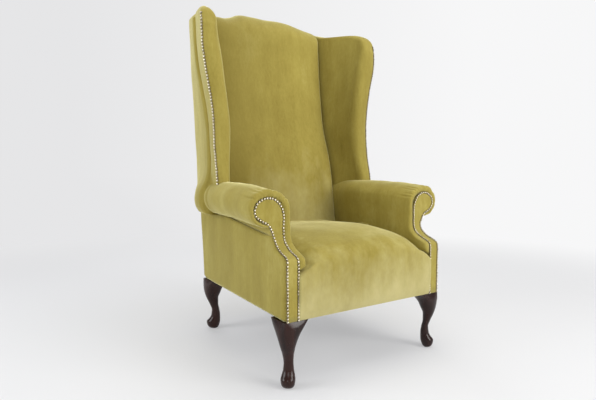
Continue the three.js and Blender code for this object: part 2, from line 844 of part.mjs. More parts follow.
// Flat trapezium sheet between two heights, inside the side walls
function flatSheet(sideGap, frontY, backY, lowZ, highZ) {
  const rings = [lowZ, highZ].map((z) => [
    [-wallX(frontY) + sideGap, frontY, z],
    [wallX(frontY) - sideGap, frontY, z],
    [wallX(backY) - sideGap, backY, z],
    [-wallX(backY) + sideGap, backY, z],
  ]);
  return bar(rings);
}

// A row of nail heads along a path: each head widens from a narrow neck to its full width.
// Settle puts a point of the path back on the surface that the heads sit on.
function walkPath(points, normals, distance) {
  let left = distance;
  let leg = 0;
  while (leg < points.length - 2 && left > points[leg].distanceTo(points[leg + 1])) {
    left -= points[leg].distanceTo(points[leg + 1]);
    leg += 1;
  }
  const share = left / points[leg].distanceTo(points[leg + 1]);
  return {
    point: points[leg].clone().lerp(points[leg + 1], share),
    normal: normals[leg].clone().lerp(normals[leg + 1], share).normalize(),
    along: points[leg + 1].clone().sub(points[leg]).normalize(),
  };
}
function nailRow(points, normals, settle) {
  const length = points.slice(1).reduce((sum, point, i) => sum + point.distanceTo(points[i]), 0);
  const count = Math.floor(length / nailPitch);
  const rings = Array.from({ length: 2 * count + 1 }, (_, station) => {
    const sizeShare = station % 2 ? 1 : nailNeckShare;
    const { point, normal, along } = walkPath(points, normals, (station * length) / (2 * count));
    const seat = settle(point);
    const side = new THREE.Vector3().crossVectors(along, normal).normalize();
    const corner = (reach, height) =>
      seat.clone().addScaledVector(side, reach).addScaledVector(normal, fit + height).toArray();
    const half = nailRadius * sizeShare;
    return [corner(-half, 0), corner(0, nailHeight * sizeShare), corner(half, 0)];
  });
  return loft(rings, fanCap(3));
}
function armNails() {
  const section = boardRing(nailInset, 0, baseBottom);
  const front = (z) => armFront(z) - fit - facingThick;
  const points = section.map(([x, , z]) => new THREE.Vector3(x, front(z), z));
  const lean = scrollDepth / neckRise;
  const normals = section.map(([, , z]) => {
    const leaning = z > facingBreak && z < facingNeck - fit;
    return new THREE.Vector3(0, -1, leaning ? lean : 0).normalize();
  });
  return nailRow(points, normals, (point) => new THREE.Vector3(point.x, front(point.z), point.z));
}
function wingNails() {
  const lowZ = wingHeights[1] + nailRadius * 2;
  const highZ = wingTop - wingBrowDrop - wingSoft;
  const heights = [lowZ, ...wingHeights.slice(2, -1)];
  const rows = [...heights.map((z) => wingRow(z)), { ...wingRow(wingTop), z: highZ }];
  const points = rows.map(({ edgeX, edgeY, z }) => new THREE.Vector3(edgeX, edgeY, z));
  const outward = new THREE.Vector3(edgeNormalShare, -Math.sqrt(1 - edgeNormalShare ** 2), 0);
  return nailRow(points, rows.map(() => outward), (point) => point);
}

// Assembly. Paired pieces are built on the sitter's left and mirrored.
const chair = new THREE.Group();
chair.name = "wingback_armchair";
function place(name, solid, material) {
  const mesh = new THREE.Mesh(geometryOf(solid), material);
  mesh.name = name;
  chair.add(mesh);
}
function placePair(name, solid, material) {
  place(name + "_left", solid, material);
  place(name + "_right", flipX(solid), material);
}
function cut(solid, ...tools) {
  return tools.reduce((left, tool) => left.subtract(tool), solid);
}

// Cutting tools shared by the covers and the foams
const backPanelHalf = postX();
const backPanelTop = crestSpring - facingThick;
const armGrown = armForm(-fit);
const armsGrown = bothSides(armGrown);
const backGrown = backForm(-fit);
const backPanelCut = rearSlab(
  backPanelHalf + fit, wallSkin, -overrun, baseBottom - overrun, backPanelTop + fit);
const postCut = rearSlab(
  backPanelHalf + fit, wallSkin + postDepth + fit, -overrun, baseBottom - overrun, postTop + fit);
const armRearCut = rearSlab(
  sideReach, wallSkin + postDepth + fit, -overrun, baseBottom - overrun, postTop + fit);
const armRails = bothSides(armRail(fit));
const wingRails = bothSides(wingTopRail(fit));
const backHollow = rearSlab(
  sideReach, wallSkin + postDepth + webThick + 2 * fit, -overrun, baseBottom - overrun, postTop + fit);
const rearReach = baseRear + overrun;
const frontReach = -baseFront - overrun;
const underDeck = block([-sideReach, frontReach, 0], [sideReach, rearReach, deckHeight - fit]);
const behindBorder = block([-sideReach, -baseFront + cloth, 0], [sideReach, rearReach, deckHeight - fit]);
const wingHeelCut = block([0, -baseFront, 0], [sideReach, rearReach, wingHeel]);

// Legs, blocks, bolts
for (const end of ["front", "rear"]) {
  placePair(`cabriole_leg_${end}`, cabrioleLeg(end), mahogany);
  placePair(`corner_block_${end}`, cornerBlock(blockCorners[end]), beech);
  placePair(`leg_bolt_${end}`, boltSolid(blockCorners[end], 0), springSteel);
}

// Timber frame
const frontRail = block(
  [-frontRailHalf, frontRailRear - timber, railBottom], [frontRailHalf, frontRailRear, railTop]);
place("seat_rail_front", frontRail, beech);
place("seat_rail_rear", crossRail(railBottom, railTop, 0), beech);
placePair("seat_rail", sideRail(0), beech);
placePair("arm_post", armPost(0), beech);
placePair("arm_rail", armRail(0), beech);
placePair("back_post", backPost(0), beech);
place("back_lower_rail", crossRail(lowerRailFoot, lowerRailFoot + lowerRailHeight, 0), beech);
place("crest_rail", crossRail(postTop - crestRailHeight, postTop, 0), beech);
placePair("wing_post", wingPost(0), beech);
placePair("wing_top_rail", wingTopRail(0), beech);

// Springs, webbing and sheets
for (let i = 0; i < springCount; i += 1) {
  place(`seat_spring_${i + 1}`, seatSpring((i - (springCount - 1) / 2) * springPitch), springSteel);
}
webShares.forEach((share, i) => {
  const height = mix(backFoot, crestSpring, share);
  const near = wallSkin + postDepth + fit;
  const half = webWidth / 2;
  const strap = rearSlab(postX() - postWidth / 2, near + webThick, near, height - half, height + half);
  place(`back_webbing_${i + 1}`, strap, webbing);
});
const frontBolts = bothSides(boltSolid(blockCorners.front, fit));
const rearBolts = bothSides(boltSolid(blockCorners.rear, fit));
const dustSheet = flatSheet(
  wallSkin, frontRailRear - timber, baseRear - wallSkin, baseBottom + fit, baseBottom + fit + sheetThick);
place("dust_cover", cut(dustSheet, frontBolts, rearBolts), lining);
const springTop = railTop + fit * 2 + springWire;
const deckSheet = flatSheet(
  postWidth * 2, frontRailRear - timber + fit, rearRailFront - fit, springTop, springTop + sheetThick);
place("spring_sheet", deckSheet, webbing);

// Foams
const skin = cloth + 3 * fit;
const deckCut = block([-sideReach, frontReach, 0], [sideReach, rearReach, springTop + sheetThick + fit]);
place("seat_foam", cut(seatForm(skin), deckCut, armsGrown, backGrown), foam);
place("back_foam", cut(backForm(skin), backHollow, armRails, wingRails), foam);
const padInner = innerX(armFront(facingNeck)) + armPadThick;
const armHollow = block([padInner, -baseFront, 0], [sideReach, rearReach, facingNeck - armPadThick]);
const armNeckCut = block(
  [padInner, -baseFront, 0], [sideReach, rollStations[0].y + timber, facingNeck + neckPadThick]);
const armTimbers = [armPost(fit), armRail(fit), wingPost(fit)];
const armFoam = cut(armForm(skin), underDeck, armHollow, armNeckCut, ...armTimbers, armRearCut, backGrown);
placePair("arm_foam", armFoam, foam);
const railZ = armRailStops()[2].z + armRailHeight / 2 + fit;
const underRail = block([0, -baseFront, 0], [sideReach, rearReach, railZ]);
const browDepth = wingBrowDepth * wingShares.browPad;
const browCut = block([0, -baseFront, wingTop - wingBrowDrop - 2 * skin], [sideReach, browDepth, wingTop]);
const wingPad = cut(wingForm(skin), wingPanelRegion(0), wingHeelCut, underRail, browCut, armGrown);
placePair("wing_foam", cut(wingPad, wingPost(fit), wingRails, postCut), foam);

// Covers
const seatTail = block([-sideReach, seatRear - 2 * cloth, 0], [sideReach, baseRear, wingFoot]);
const seatSkin = cut(seatForm(0), seatForm(cloth), behindBorder, seatTail);
place("seat_cover", cut(seatSkin, armsGrown, backGrown), velvet);
const backFootCut = block([-sideReach, 0, 0], [sideReach, rearReach, backFoot + cloth]);
const backTail = rearSlab(sideReach, overrun, -overrun, 0, backPanelTop + fit);
const backSkin = cut(backForm(0), backForm(cloth), backTail, backFootCut);
place("inside_back_cover", cut(backSkin, armRails, wingRails, postCut), velvet);
place("outside_back", rearSlab(backPanelHalf, cloth, 0, railBottom, backPanelTop), velvet);
const armSkin = cut(armForm(0), armForm(cloth), armPanelRegion(0), underDeck, postCut, backPanelCut);
placePair("arm_cover", cut(armSkin, ...armTimbers, backGrown), velvet);
const insideWall = flatSheet(cloth, frontReach, rearReach, baseBottom - overrun, wingHeel);
const armPanel = armForm(0).intersect(armPanelRegion(fit));
placePair("outside_arm", cut(armPanel, insideWall, backPanelCut), velvet);
const wingSkin = cut(wingForm(0), wingForm(cloth, overrun), wingHeelCut, armGrown, backPanelCut);
const wingCutters = [postCut, wingPost(fit), wingTopRail(fit), armRail(fit)];
placePair("inside_wing_cover", cut(wingSkin, wingPanelRegion(0), underRail, ...wingCutters), velvet);
placePair("outside_wing", cut(wingSkin.intersect(wingPanelRegion(fit)), ...wingCutters), velvet);
placePair("arm_facing", armFacing(0), velvet);
placePair("arm_nail_strip", cut(armNails(), armFacing(fit)), antiqueBrass);
placePair("wing_nail_strip", wingNails(), antiqueBrass);

// The chair stands on the ground, centred on its footprint
const bounds = new THREE.Box3().setFromObject(chair);
chair.position.set(0, -(bounds.min.y + bounds.max.y) / 2, -bounds.min.z);
export default chair;
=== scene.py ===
import json
import math
import random

import bmesh
import bpy
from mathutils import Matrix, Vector, noise


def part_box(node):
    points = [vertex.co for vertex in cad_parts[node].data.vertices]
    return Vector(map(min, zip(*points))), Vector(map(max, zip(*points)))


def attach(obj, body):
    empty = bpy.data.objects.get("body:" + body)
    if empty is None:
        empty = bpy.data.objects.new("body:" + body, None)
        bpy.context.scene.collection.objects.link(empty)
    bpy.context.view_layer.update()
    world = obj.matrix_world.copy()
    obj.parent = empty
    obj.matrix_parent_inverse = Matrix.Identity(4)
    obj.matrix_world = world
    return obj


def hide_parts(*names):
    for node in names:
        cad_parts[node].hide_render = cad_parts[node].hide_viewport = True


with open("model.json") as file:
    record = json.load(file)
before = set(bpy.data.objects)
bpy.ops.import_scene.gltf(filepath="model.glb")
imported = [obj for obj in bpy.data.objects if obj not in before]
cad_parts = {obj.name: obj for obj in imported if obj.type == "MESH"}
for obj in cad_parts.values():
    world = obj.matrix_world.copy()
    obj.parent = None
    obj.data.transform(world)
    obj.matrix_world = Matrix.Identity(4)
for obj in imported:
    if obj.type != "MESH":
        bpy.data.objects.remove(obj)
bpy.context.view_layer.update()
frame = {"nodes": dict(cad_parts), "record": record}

# Every size below is in millimetres in the CAD source's own frame, which the pack then centred:
# facingFront is where the CAD's arm boards stand in it.
facingFront = -420
millimetre = 0.001
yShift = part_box("arm_facing_left")[0].y / millimetre - facingFront
body = "root"
sides = {"left": 1, "right": -1}
tiny = 0.001  # keeps divisions away from zero
cornerReach, arcPull = 0.45, 0.586  # a soft corner's longest reach, and how near its arc comes
sharpest = 0.4  # the tightest turn that an inset outline follows in full


# Numbers
def clampUnit(value):
    return min(1.0, max(0.0, value))


def mix(low, high, share):
    return low + (high - low) * share


def smoothStep(value):
    share = clampUnit(value)
    return share * share * (3 - 2 * share)


# How far a rounded edge falls back, at a distance in from it
def roundOff(edge, radius):
    left = radius - min(max(edge, 0), radius)
    return radius - math.sqrt(radius**2 - left**2)


def bump(value, centre, reach):
    return math.exp(-(((value - centre) / reach) ** 2))


# Reads a table smoothly: each row holds the key first, and slopes never overshoot the rows
def readTable(rows, key, column):
    last = len(rows) - 1
    secants = [
        (rows[i + 1][column] - rows[i][column]) / (rows[i + 1][0] - rows[i][0]) for i in range(last)
    ]
    row = 0
    while row < last - 1 and rows[row + 1][0] < key:
        row += 1

    def slope(i):
        if i in (0, last):
            return secants[min(i, last - 1)]
        before, after = secants[i - 1], secants[i]
        if before * after <= 0:
            return 0.0
        return 2 * before * after / (before + after)

    width = rows[row + 1][0] - rows[row][0]
    share = clampUnit((key - rows[row][0]) / width)
    low, high = rows[row][column], rows[row + 1][column]
    return hermite(low, high, slope(row) * width, slope(row + 1) * width, share)


def hermite(low, high, lowSlope, highSlope, share):
    squared, cubed = share**2, share**3
    return (
        (2 * cubed - 3 * squared + 1) * low
        + (cubed - 2 * squared + share) * lowSlope
        + (3 * squared - 2 * cubed) * high
        + (cubed - squared) * highSlope
    )


# Samples a smooth closed curve through outline points, with the same number of steps in each span
def smoothLoop(points, steps):
    count = len(points)
    chords = [max(math.dist(points[i], points[(i + 1) % count]), tiny) for i in range(count)]

    def tangent(i, axis):
        before, after = chords[i - 1], chords[i]
        behind = (points[i][axis] - points[i - 1][axis]) / before
        ahead = (points[(i + 1) % count][axis] - points[i][axis]) / after
        return (behind * after + ahead * before) / (before + after)

    def between(i, axis, share):
        j = (i + 1) % count
        slopes = tangent(i, axis) * chords[i], tangent(j, axis) * chords[i]
        return hermite(points[i][axis], points[j][axis], *slopes, share)

    shares = [step / steps for step in range(steps)]
    return [(between(i, 0, share), between(i, 1, share)) for i in range(count) for share in shares]


# Swaps chosen corners of an outline for three points of an arc
def softCorners(points, radii):
    soft = []
    for i, point in enumerate(points):
        if i not in radii:
            soft.append(point)
            continue
        ends = []
        for other in (points[i - 1], points[(i + 1) % len(points)]):
            reach = min(radii[i] / max(math.dist(point, other), tiny), cornerReach)
            ends.append((mix(point[0], other[0], reach), mix(point[1], other[1], reach)))
        middle = [(ends[0][axis] + ends[1][axis]) / 2 for axis in (0, 1)]
        arc = tuple(mix(point[axis], middle[axis], arcPull) for axis in (0, 1))
        soft.extend([ends[0], arc, ends[1]])
    return soft


# Meshes, in metres
weldGap = 0.00001


def finishMesh(name, mesh, material, smooth=True, sharpAngle=None):
    bmesh.ops.recalc_face_normals(mesh, faces=mesh.faces)
    data = bpy.data.meshes.new(name)
    mesh.to_mesh(data)
    mesh.free()
    for polygon in data.polygons:
        polygon.use_smooth = smooth
    if sharpAngle is not None:
        data.set_sharp_from_angle(angle=math.radians(sharpAngle))
    piece = bpy.data.objects.new(name, data)
    bpy.context.scene.collection.objects.link(piece)
    data.materials.append(material)
    return piece


def place(x, y, z):
    return Vector((x, y + yShift, z)) * millimetre


# Puts a grid's points on rings of (x, y, z) points. Closed rings are welded at their seam, and
# open ends are filled.
def ringMesh(rings, closed=True, capped=True):
    mesh = bmesh.new()
    columns = len(rings[0]) if closed else len(rings[0]) - 1
    rows = len(rings) - 1
    bmesh.ops.create_grid(mesh, x_segments=columns, y_segments=rows, size=1)
    for vert in mesh.verts:
        column = round((vert.co.x + 1) / 2 * columns) % len(rings[0])
        row = round((vert.co.y + 1) / 2 * rows)
        vert.co = place(*rings[row][column])
    if closed:
        bmesh.ops.remove_doubles(mesh, verts=mesh.verts, dist=weldGap)
    if capped:
        border = [edge for edge in mesh.edges if edge.is_boundary]
        bmesh.ops.holes_fill(mesh, edges=border, sides=0)
    return mesh


def mirrorRings(rings, side):
    return [[(side * x, y, z) for x, y, z in ring] for ring in rings]


# Small unevenness of stuffed cloth, in millimetres
def unevenness(x, y, z, size, seed):
    return noise.noise(Vector((x / size + seed, y / size, z / size)))


# Shader expressions: Signal wraps a socket, Graph makes nodes
def operator(operation, swapped=False):
    def method(self, other):
        return self.graph.maths(operation, *((other, self) if swapped else (self, other)))

    return method


class Signal:
    def __init__(self, graph, socket):
        self.graph = graph
        self.socket = socket

    __add__, __radd__ = operator("ADD"), operator("ADD", True)
    __sub__, __rsub__ = operator("SUBTRACT"), operator("SUBTRACT", True)
    __mul__, __rmul__ = operator("MULTIPLY"), operator("MULTIPLY", True)
    __truediv__, __pow__ = operator("DIVIDE"), operator("POWER")


class Graph:
    def __init__(self, tree):
        self.tree = tree
        self.tree.nodes.clear()

    def node(self, kind, settings=None, inputs=None, output=0):
        made = self.tree.nodes.new(kind)
        for name, value in (settings or {}).items():
            setattr(made, name, value)
        for name, value in (inputs or {}).items():
            if isinstance(value, Signal):
                self.tree.links.new(value.socket, made.inputs[name])
            else:
                made.inputs[name].default_value = value
        return Signal(self, made.outputs[output]) if len(made.outputs) else made

    def maths(self, operation, *values):
        return self.node("ShaderNodeMath", {"operation": operation}, dict(enumerate(values)))

    def vector(self, operation, *values, output=0):
        settings = {"operation": operation}
        return self.node("ShaderNodeVectorMath", settings, dict(enumerate(values)), output)

    def blend(self, share, low, high):
        inputs = {0: share, 6: low, 7: high}
        return self.node("ShaderNodeMix", {"data_type": "RGBA"}, inputs, output=2)

    # One of the place's coordinates: 0 is across, 2 is the height
    def coordinate(self, axis):
        return self.node("ShaderNodeSeparateXYZ", inputs={0: self.position()}, output=axis)

    def position(self, scale=(1, 1, 1)):
        where = self.node("ShaderNodeTexCoord", output=3)
        return self.node("ShaderNodeMapping", inputs={"Vector": where, "Scale": scale})

    def noise(self, scale, detail=3, roughness=0.5, stretch=(1, 1, 1)):
        inputs = {"Vector": self.position(stretch), "Scale": scale}
        inputs |= {"Detail": detail, "Roughness": roughness}
        return self.node("ShaderNodeTexNoise", inputs=inputs)

    def wave(self, scale, direction, distortion=0.0, detailScale=1.0):
        settings = {"wave_type": "BANDS", "bands_direction": direction, "wave_profile": "SIN"}
        inputs = {"Vector": self.position(), "Scale": scale}
        inputs |= {"Distortion": distortion, "Detail Scale": detailScale}
        return self.node("ShaderNodeTexWave", settings, inputs, output=1)

    def clamp(self, signal, low, high):
        inputs = {"Value": signal, "From Min": low, "From Max": high}
        return self.node("ShaderNodeMapRange", {"clamp": True}, inputs)

    def relief(self, height, strength, distance):
        inputs = {"Height": height, "Strength": strength, "Distance": distance}
        return self.node("ShaderNodeBump", inputs=inputs)


def newMaterial(name):
    material = bpy.data.materials.new(name)
    material.use_nodes = True
    return material, Graph(material.node_tree)


# A finish's recipe turns its look, the dictionary beside it, into the surface's inputs. A noise
# is given by scale, detail, roughness and stretch.
def makeFinish(name, recipe, look):
    material, graph = newMaterial(name)
    shader = graph.node("ShaderNodeBsdfPrincipled", inputs=recipe(graph, look))
    graph.node("ShaderNodeOutputMaterial", inputs={"Surface": shader})
    return material


velvetLook = {
    "dark": (0.235, 0.18, 0.03, 1),
    "light": (0.4, 0.33, 0.075, 1),
    "worn": (0.5, 0.45, 0.19, 1),
    # the colour of the painted sheen and light, paler below a height
    "pale": (0.6, 0.55, 0.29, 1),
    # the colour of the painted shade to one side
    "deep": (0.17, 0.13, 0.025, 1),
    "stroke": (3.6, 3, 0.55, (1, 1, 0.5)),
    "streak": (30, 3, 0.6, (1, 1, 0.1)),
    "cloud": (14, 4, 0.62, (1, 1, 0.6)),
    "mottle": (120, 3, 0.65, (1, 1, 0.45)),
    "fibre": (1150, 2, 0.7),
    "weave": (420, "Z", 1.2, 2.0),
    "sheen": 0.8,
    "sheenRoughness": 0.34,
    "sheenTint": (0.95, 0.91, 0.5, 1),
    "specular": 0.2,
    "relief": (0.28, 0.0012),
}


# Below a height that a look gives, the velvet is painted paler: painted sheen of pile that lies the
# other way, and painted light. The look gives that height, how softly it sets in and how much. A
# look can also give a place across the chair from which the velvet is painted darker, which is
# painted shade, with how softly and how much.
def velvetRecipe(graph, look):
    stroke = graph.clamp(graph.noise(*look["stroke"]), 0.34, 0.66)
    streak = graph.clamp(graph.noise(*look["streak"]), 0.32, 0.68)
    cloud = graph.clamp(graph.noise(*look["cloud"]), 0.3, 0.7)
    mottle = graph.clamp(graph.noise(*look["mottle"]), 0.3, 0.7)
    fibre = graph.noise(*look["fibre"])
    weave = graph.wave(*look["weave"])
    tone = stroke * 0.36 + streak * 0.2 + cloud * 0.2 + mottle * 0.2 + fibre * 0.18 + weave * 0.04
    pile = graph.blend(graph.clamp(tone, 0.15, 1.0), look["dark"], look["light"])
    brushed = graph.clamp(cloud * 0.4 + stroke * 0.4 + mottle * 0.2, 0.6, 1.0) * 0.2
    colour = graph.blend(brushed, pile, look["worn"])
    # painted sheen and painted light: the velvet is paler below a height
    if "lower" in look:
        height, reach, most = look["lower"]
        share = (height - graph.coordinate(2)) / reach + (cloud - 0.5) * 0.5 + (stroke - 0.5) * 0.4
        colour = graph.blend(graph.clamp(share, 0.0, 1.0) * most, colour, look["pale"])
    # painted shade: the velvet is darker towards one side
    if "aside" in look:
        across, reach, most = look["aside"]
        share = (across - graph.coordinate(0)) / reach
        colour = graph.blend(graph.clamp(share, 0.0, 1.0) * most, colour, look["deep"])
    height = fibre * 0.6 + weave * 0.12 + cloud * 0.6 + mottle * 0.5
    return {
        "Base Color": colour,
        "Roughness": graph.clamp(fibre, 0.0, 1.0) * 0.15 + 0.78,
        "Specular IOR Level": look["specular"],
        "Sheen Weight": look["sheen"],
        "Sheen Roughness": look["sheenRoughness"],
        "Sheen Tint": look["sheenTint"],
        "Normal": graph.relief(height, *look["relief"]),
    }


mahoganyLook = {
    "dark": (0.009, 0.0026, 0.0018, 1),
    "light": (0.034, 0.009, 0.005, 1),
    "grain": (34, 5, 0.6, (1, 1, 0.16)),
    "pore": (260, 2, 0.6, (1, 1, 0.1)),
    "coat": 0.14,
    "coatRoughness": 0.14,
    "specular": 0.24,
    "relief": (0.12, 0.0008),
}


def mahoganyRecipe(graph, look):
    grain, pore = graph.noise(*look["grain"]), graph.noise(*look["pore"])
    return {
        "Base Color": graph.blend(graph.clamp(grain, 0.3, 0.75), look["dark"], look["light"]),
        "Roughness": graph.clamp(grain, 0.0, 1.0) * 0.14 + 0.2,
        "Coat Weight": look["coat"],
        "Coat Roughness": look["coatRoughness"],
        "Specular IOR Level": look["specular"],
        "Normal": graph.relief(pore * 0.4 + grain, *look["relief"]),
    }


# A plainer finish: its layers are noises or waves, weighed into a tone between its two colours,
# into its roughness and into its relief
def plainRecipe(graph, look):
    kinds = {"noise": graph.noise, "wave": graph.wave}
    layers = {name: kinds[kind](*values) for name, (kind, *values) in look["layers"].items()}

    def weighed(shares):
        return sum(layers[name] * share for name, share in shares.items())

    tone = graph.clamp(weighed(look["tone"]), *look["ends"])
    return {
        "Base Color": graph.blend(tone, *look["colours"]),
        "Metallic": look.get("metallic", 0.0),
        "Roughness": weighed(look["rougher"]) + look["roughness"],
        "Normal": graph.relief(weighed(look["height"]), *look["relief"]),
    }


beechLook = {
    "colours": ((0.42, 0.26, 0.12, 1), (0.66, 0.45, 0.25, 1)),
    "layers": {
        "grain": ("noise", 18, 5, 0.62, (1, 1, 0.2)),
        "fleck": ("noise", 330, 2, 0.6, (1, 1, 0.14)),
    },
    "tone": {"grain": 0.7, "fleck": 0.4},
    "ends": (0.25, 0.85),
    "roughness": 0.42,
    "rougher": {"fleck": 0.3},
    "height": {"fleck": 1},
    "relief": (0.15, 0.0006),
}
steelLook = {
    "colours": ((0.3, 0.3, 0.31, 1), (0.52, 0.53, 0.54, 1)),
    "layers": {"drawn": ("noise", 420, 3, 0.6, (1, 0.15, 1)), "stain": ("noise", 28, 4, 0.6)},
    "tone": {"stain": 1},
    "ends": (0.35, 0.7),
    "metallic": 1.0,
    "roughness": 0.26,
    "rougher": {"drawn": 0.3},
    "height": {"drawn": 1},
    "relief": (0.08, 0.0004),
}
juteLook = {
    "colours": ((0.2, 0.13, 0.06, 1), (0.52, 0.39, 0.22, 1)),
    "layers": {
        "warp": ("wave", 170, "X", 1.4),
        "weft": ("wave", 170, "Z", 1.4),
        "hair": ("noise", 520, 3, 0.65),
    },
    "tone": {"warp": 0.4, "weft": 0.3, "hair": 0.5},
    "ends": (0.2, 0.95),
    "roughness": 0.82,
    "rougher": {"hair": 0.12},
    "height": {"warp": 1, "weft": 1, "hair": 1},
    "relief": (0.35, 0.001),
}
liningLook = {
    "colours": ((0.009, 0.008, 0.008, 1), (0.03, 0.028, 0.027, 1)),
    "layers": {"felt": ("noise", 640, 4, 0.7), "fold": ("noise", 14, 3, 0.6)},
    "tone": {"felt": 0.7, "fold": 0.4},
    "ends": (0.2, 0.9),
    "roughness": 0.84,
    "rougher": {"felt": 0.12},
    "height": {"felt": 1},
    "relief": (0.3, 0.0008),
}
crownLook = {
    "colours": ((0.44, 0.36, 0.23, 1), (0.95, 0.9, 0.74, 1)),
    "layers": {"tarnish": ("noise", 240, 4, 0.65), "blotch": ("noise", 46, 3, 0.6)},
    "tone": {"tarnish": 0.6, "blotch": 0.5},
    "ends": (0.3, 0.8),
    "metallic": 0.9,
    "roughness": 0.16,
    "rougher": {"tarnish": 0.2},
    "height": {"tarnish": 1},
    "relief": (0.1, 0.0004),
}
# The nails' skirt is dark: partly patina at their rims, partly painted shade and painted dark
# reflection between the nails.
skirtPatinaShadeLook = {
    **crownLook,
    "colours": ((0.04, 0.027, 0.013, 1), (0.15, 0.108, 0.055, 1)),
    "metallic": 0.4,
    "roughness": 0.45,
}
# The back's velvet is painted paler low down, painted light and sheen on its leaning lower part, and
# painted darker towards the sitter's right, a painted shade of the wing beside it.
backPaintedLightLook = {**velvetLook, "lower": (0.74, 0.4, 0.4), "aside": (0.1, 0.34, 0.6)}
# The seat's velvet is painted paler below its brow, at the front: painted sheen of pile that lies
# the other way, and painted light.
seatPaintedLightLook = {**velvetLook, "lower": (0.42, 0.2, 0.56)}
velvet = makeFinish("velvet", velvetRecipe, velvetLook)
backVelvet = makeFinish("backVelvet", velvetRecipe, backPaintedLightLook)
seatVelvet = makeFinish("seatVelvet", velvetRecipe, seatPaintedLightLook)
mahogany = makeFinish("mahogany", mahoganyRecipe, mahoganyLook)
nailBrass = makeFinish("nailBrass", plainRecipe, crownLook)
nailSkirt = makeFinish("nailSkirt", plainRecipe, skirtPatinaShadeLook)
carried = {
    "beech": makeFinish("beech", plainRecipe, beechLook),
    "spring_steel": makeFinish("springSteel", plainRecipe, steelLook),
    "webbing": makeFinish("jute", plainRecipe, juteLook),
    "lining": makeFinish("lining", plainRecipe, liningLook),
}
print("materials made")

# The base and the arms, as the CAD has them
base = {
    "front": 420,
    "rear": 301,
    "halfFront": 332,
    "halfRear": 288,
    "bottom": 210,
    "rearLean": 0.1216,
    "deck": 304,
}
arm = {
    "thick": 70,
    "rootThick": 26,
    "break": 400,
    "neck": 485,
    "board": 4.3,
    "radius": 62,
    "overhang": 25,
    "rise": 75,
    "groove": 100,
    "recess": 9,
    "recessFrom": 10,
    "recessOver": 120,
    "tuckInner": 30,
    "tuckWall": 4,
    "tuckDepth": 20,
    "waist": 0.4,
    "waistRise": 0.75,
    "start": -108,
    "outerSteps": 9,
    "overSteps": 7,
    # out from the wall and height of the groove where the nailed outline begins
    "nailedFoot": (1.5, 467),
    # height, how far the front stands back from the seat's
    "sweep": [
        (205, 0), (386, 0), (393, 1), (399, 5), (405, 16), (413, 37), (421, 53), (432, 67.2),
        (443, 76.2), (453, 80.5), (465, 82.3), (620, 82.3),
    ],
    # along, overhang, rise, radius, groove, bulge
    "stations": [
        (0, 1.02, 0.83, 0.965, 0.62, -4), (0.1, 1.01, 0.91, 0.975, 0.68, -2),
        (0.22, 1, 0.965, 0.985, 0.75, 4), (0.37, 0.96, 1, 0.985, 0.84, 9),
        (0.58, 0.77, 1.01, 0.96, 0.98, 10), (1, -0.5, 0.75, 0.5, 1, 10),
    ],
    # the lobe as its nails outline it: across, height, outer and inner reach, tallness, start
    "lobe": (342.5, 538.5, 50.5, 52, 40, -88),
}


# How much of the way from the base's front to its rear a depth is
def backShare(y):
    return (y + base["front"]) / (base["rear"] + base["front"])


def wallX(y):
    return mix(base["halfFront"], base["halfRear"], backShare(y))


def innerX(y):
    low = base["halfFront"] - arm["thick"]
    high = base["halfRear"] - arm["rootThick"]
    recess = arm["recess"] * smoothStep((y - arm["recessFrom"]) / arm["recessOver"])
    return mix(low, high, backShare(y)) + recess


def rearY(z):
    return base["rear"] + base["rearLean"] * (z - base["bottom"])


# The arm's front, behind its board
def armFront(z):
    return -base["front"] + arm["board"] + readTable(arm["sweep"], z, 1)


def armStation(along):
    columns = [readTable(arm["stations"], along, i) for i in range(1, 6)]
    overhang, rise, radius, groove, bulge = columns
    lobeZ = arm["neck"] + arm["rise"] * rise
    y = mix(armFront(arm["neck"]), rearY(lobeZ), along)
    return {
        "y": y,
        "lobeX": wallX(y) + arm["overhang"] * overhang,
        "lobeZ": lobeZ,
        "radius": arm["radius"] * radius,
        "groove": arm["break"] + arm["groove"] * groove,
        "bulge": bulge,
    }


# A grid of points: spot gives each from the shares of the way up and along
def gridRings(rows, columns, spot):
    shares = [column / columns for column in range(columns + 1)]
    return [[spot(row / rows, share) for share in shares] for row in range(rows + 1)]


# Points of the arm's section: from the groove round the lobe and down the inner face
def sectionPoints(groove, lobe, inner, floor):
    lobeX, lobeZ, outer, reach, tall, start = lobe
    outline = [groove]
    outerSteps, overSteps = arm["outerSteps"], arm["overSteps"]
    turns = [(outer, mix(start, 90, i / outerSteps)) for i in range(outerSteps + 1)]
    turns += [(reach, mix(90, 180, i / overSteps)) for i in range(1, overSteps + 1)]
    for radius, degrees in turns:
        angle = math.radians(degrees)
        outline.append((lobeX + radius * math.cos(angle), lobeZ + tall * math.sin(angle)))
    waistZ = mix(lobeZ, arm["neck"], arm["waistRise"])
    outline.append((mix(lobeX - reach, inner, arm["waist"]), waistZ))
    bend, neck = arm["break"], arm["neck"]
    heights = ((bend + neck) / 2, bend, mix(floor, bend, 0.5), floor)
    return outline + [(inner, height) for height in heights]


# The roll's full section, drawn in towards the nailed outline at its front
def armOutline(station, tuck, floor):
    y, radius = station["y"], station["radius"]
    reach = station["lobeX"] - innerX(y) + station["bulge"]
    roll = (station["lobeX"], station["lobeZ"], radius, reach, radius, arm["start"])
    full = sectionPoints((wallX(y), station["groove"]), roll, innerX(y), floor)
    if not tuck:
        return full
    out, grooveZ = arm["nailedFoot"]
    inner = innerX(y) + arm["tuckInner"]
    nailed = sectionPoints((wallX(y) + out, grooveZ), arm["lobe"], inner, floor)
    return [(mix(x, nx, tuck), mix(z, nz, tuck)) for (x, z), (nx, nz) in zip(full, nailed)]


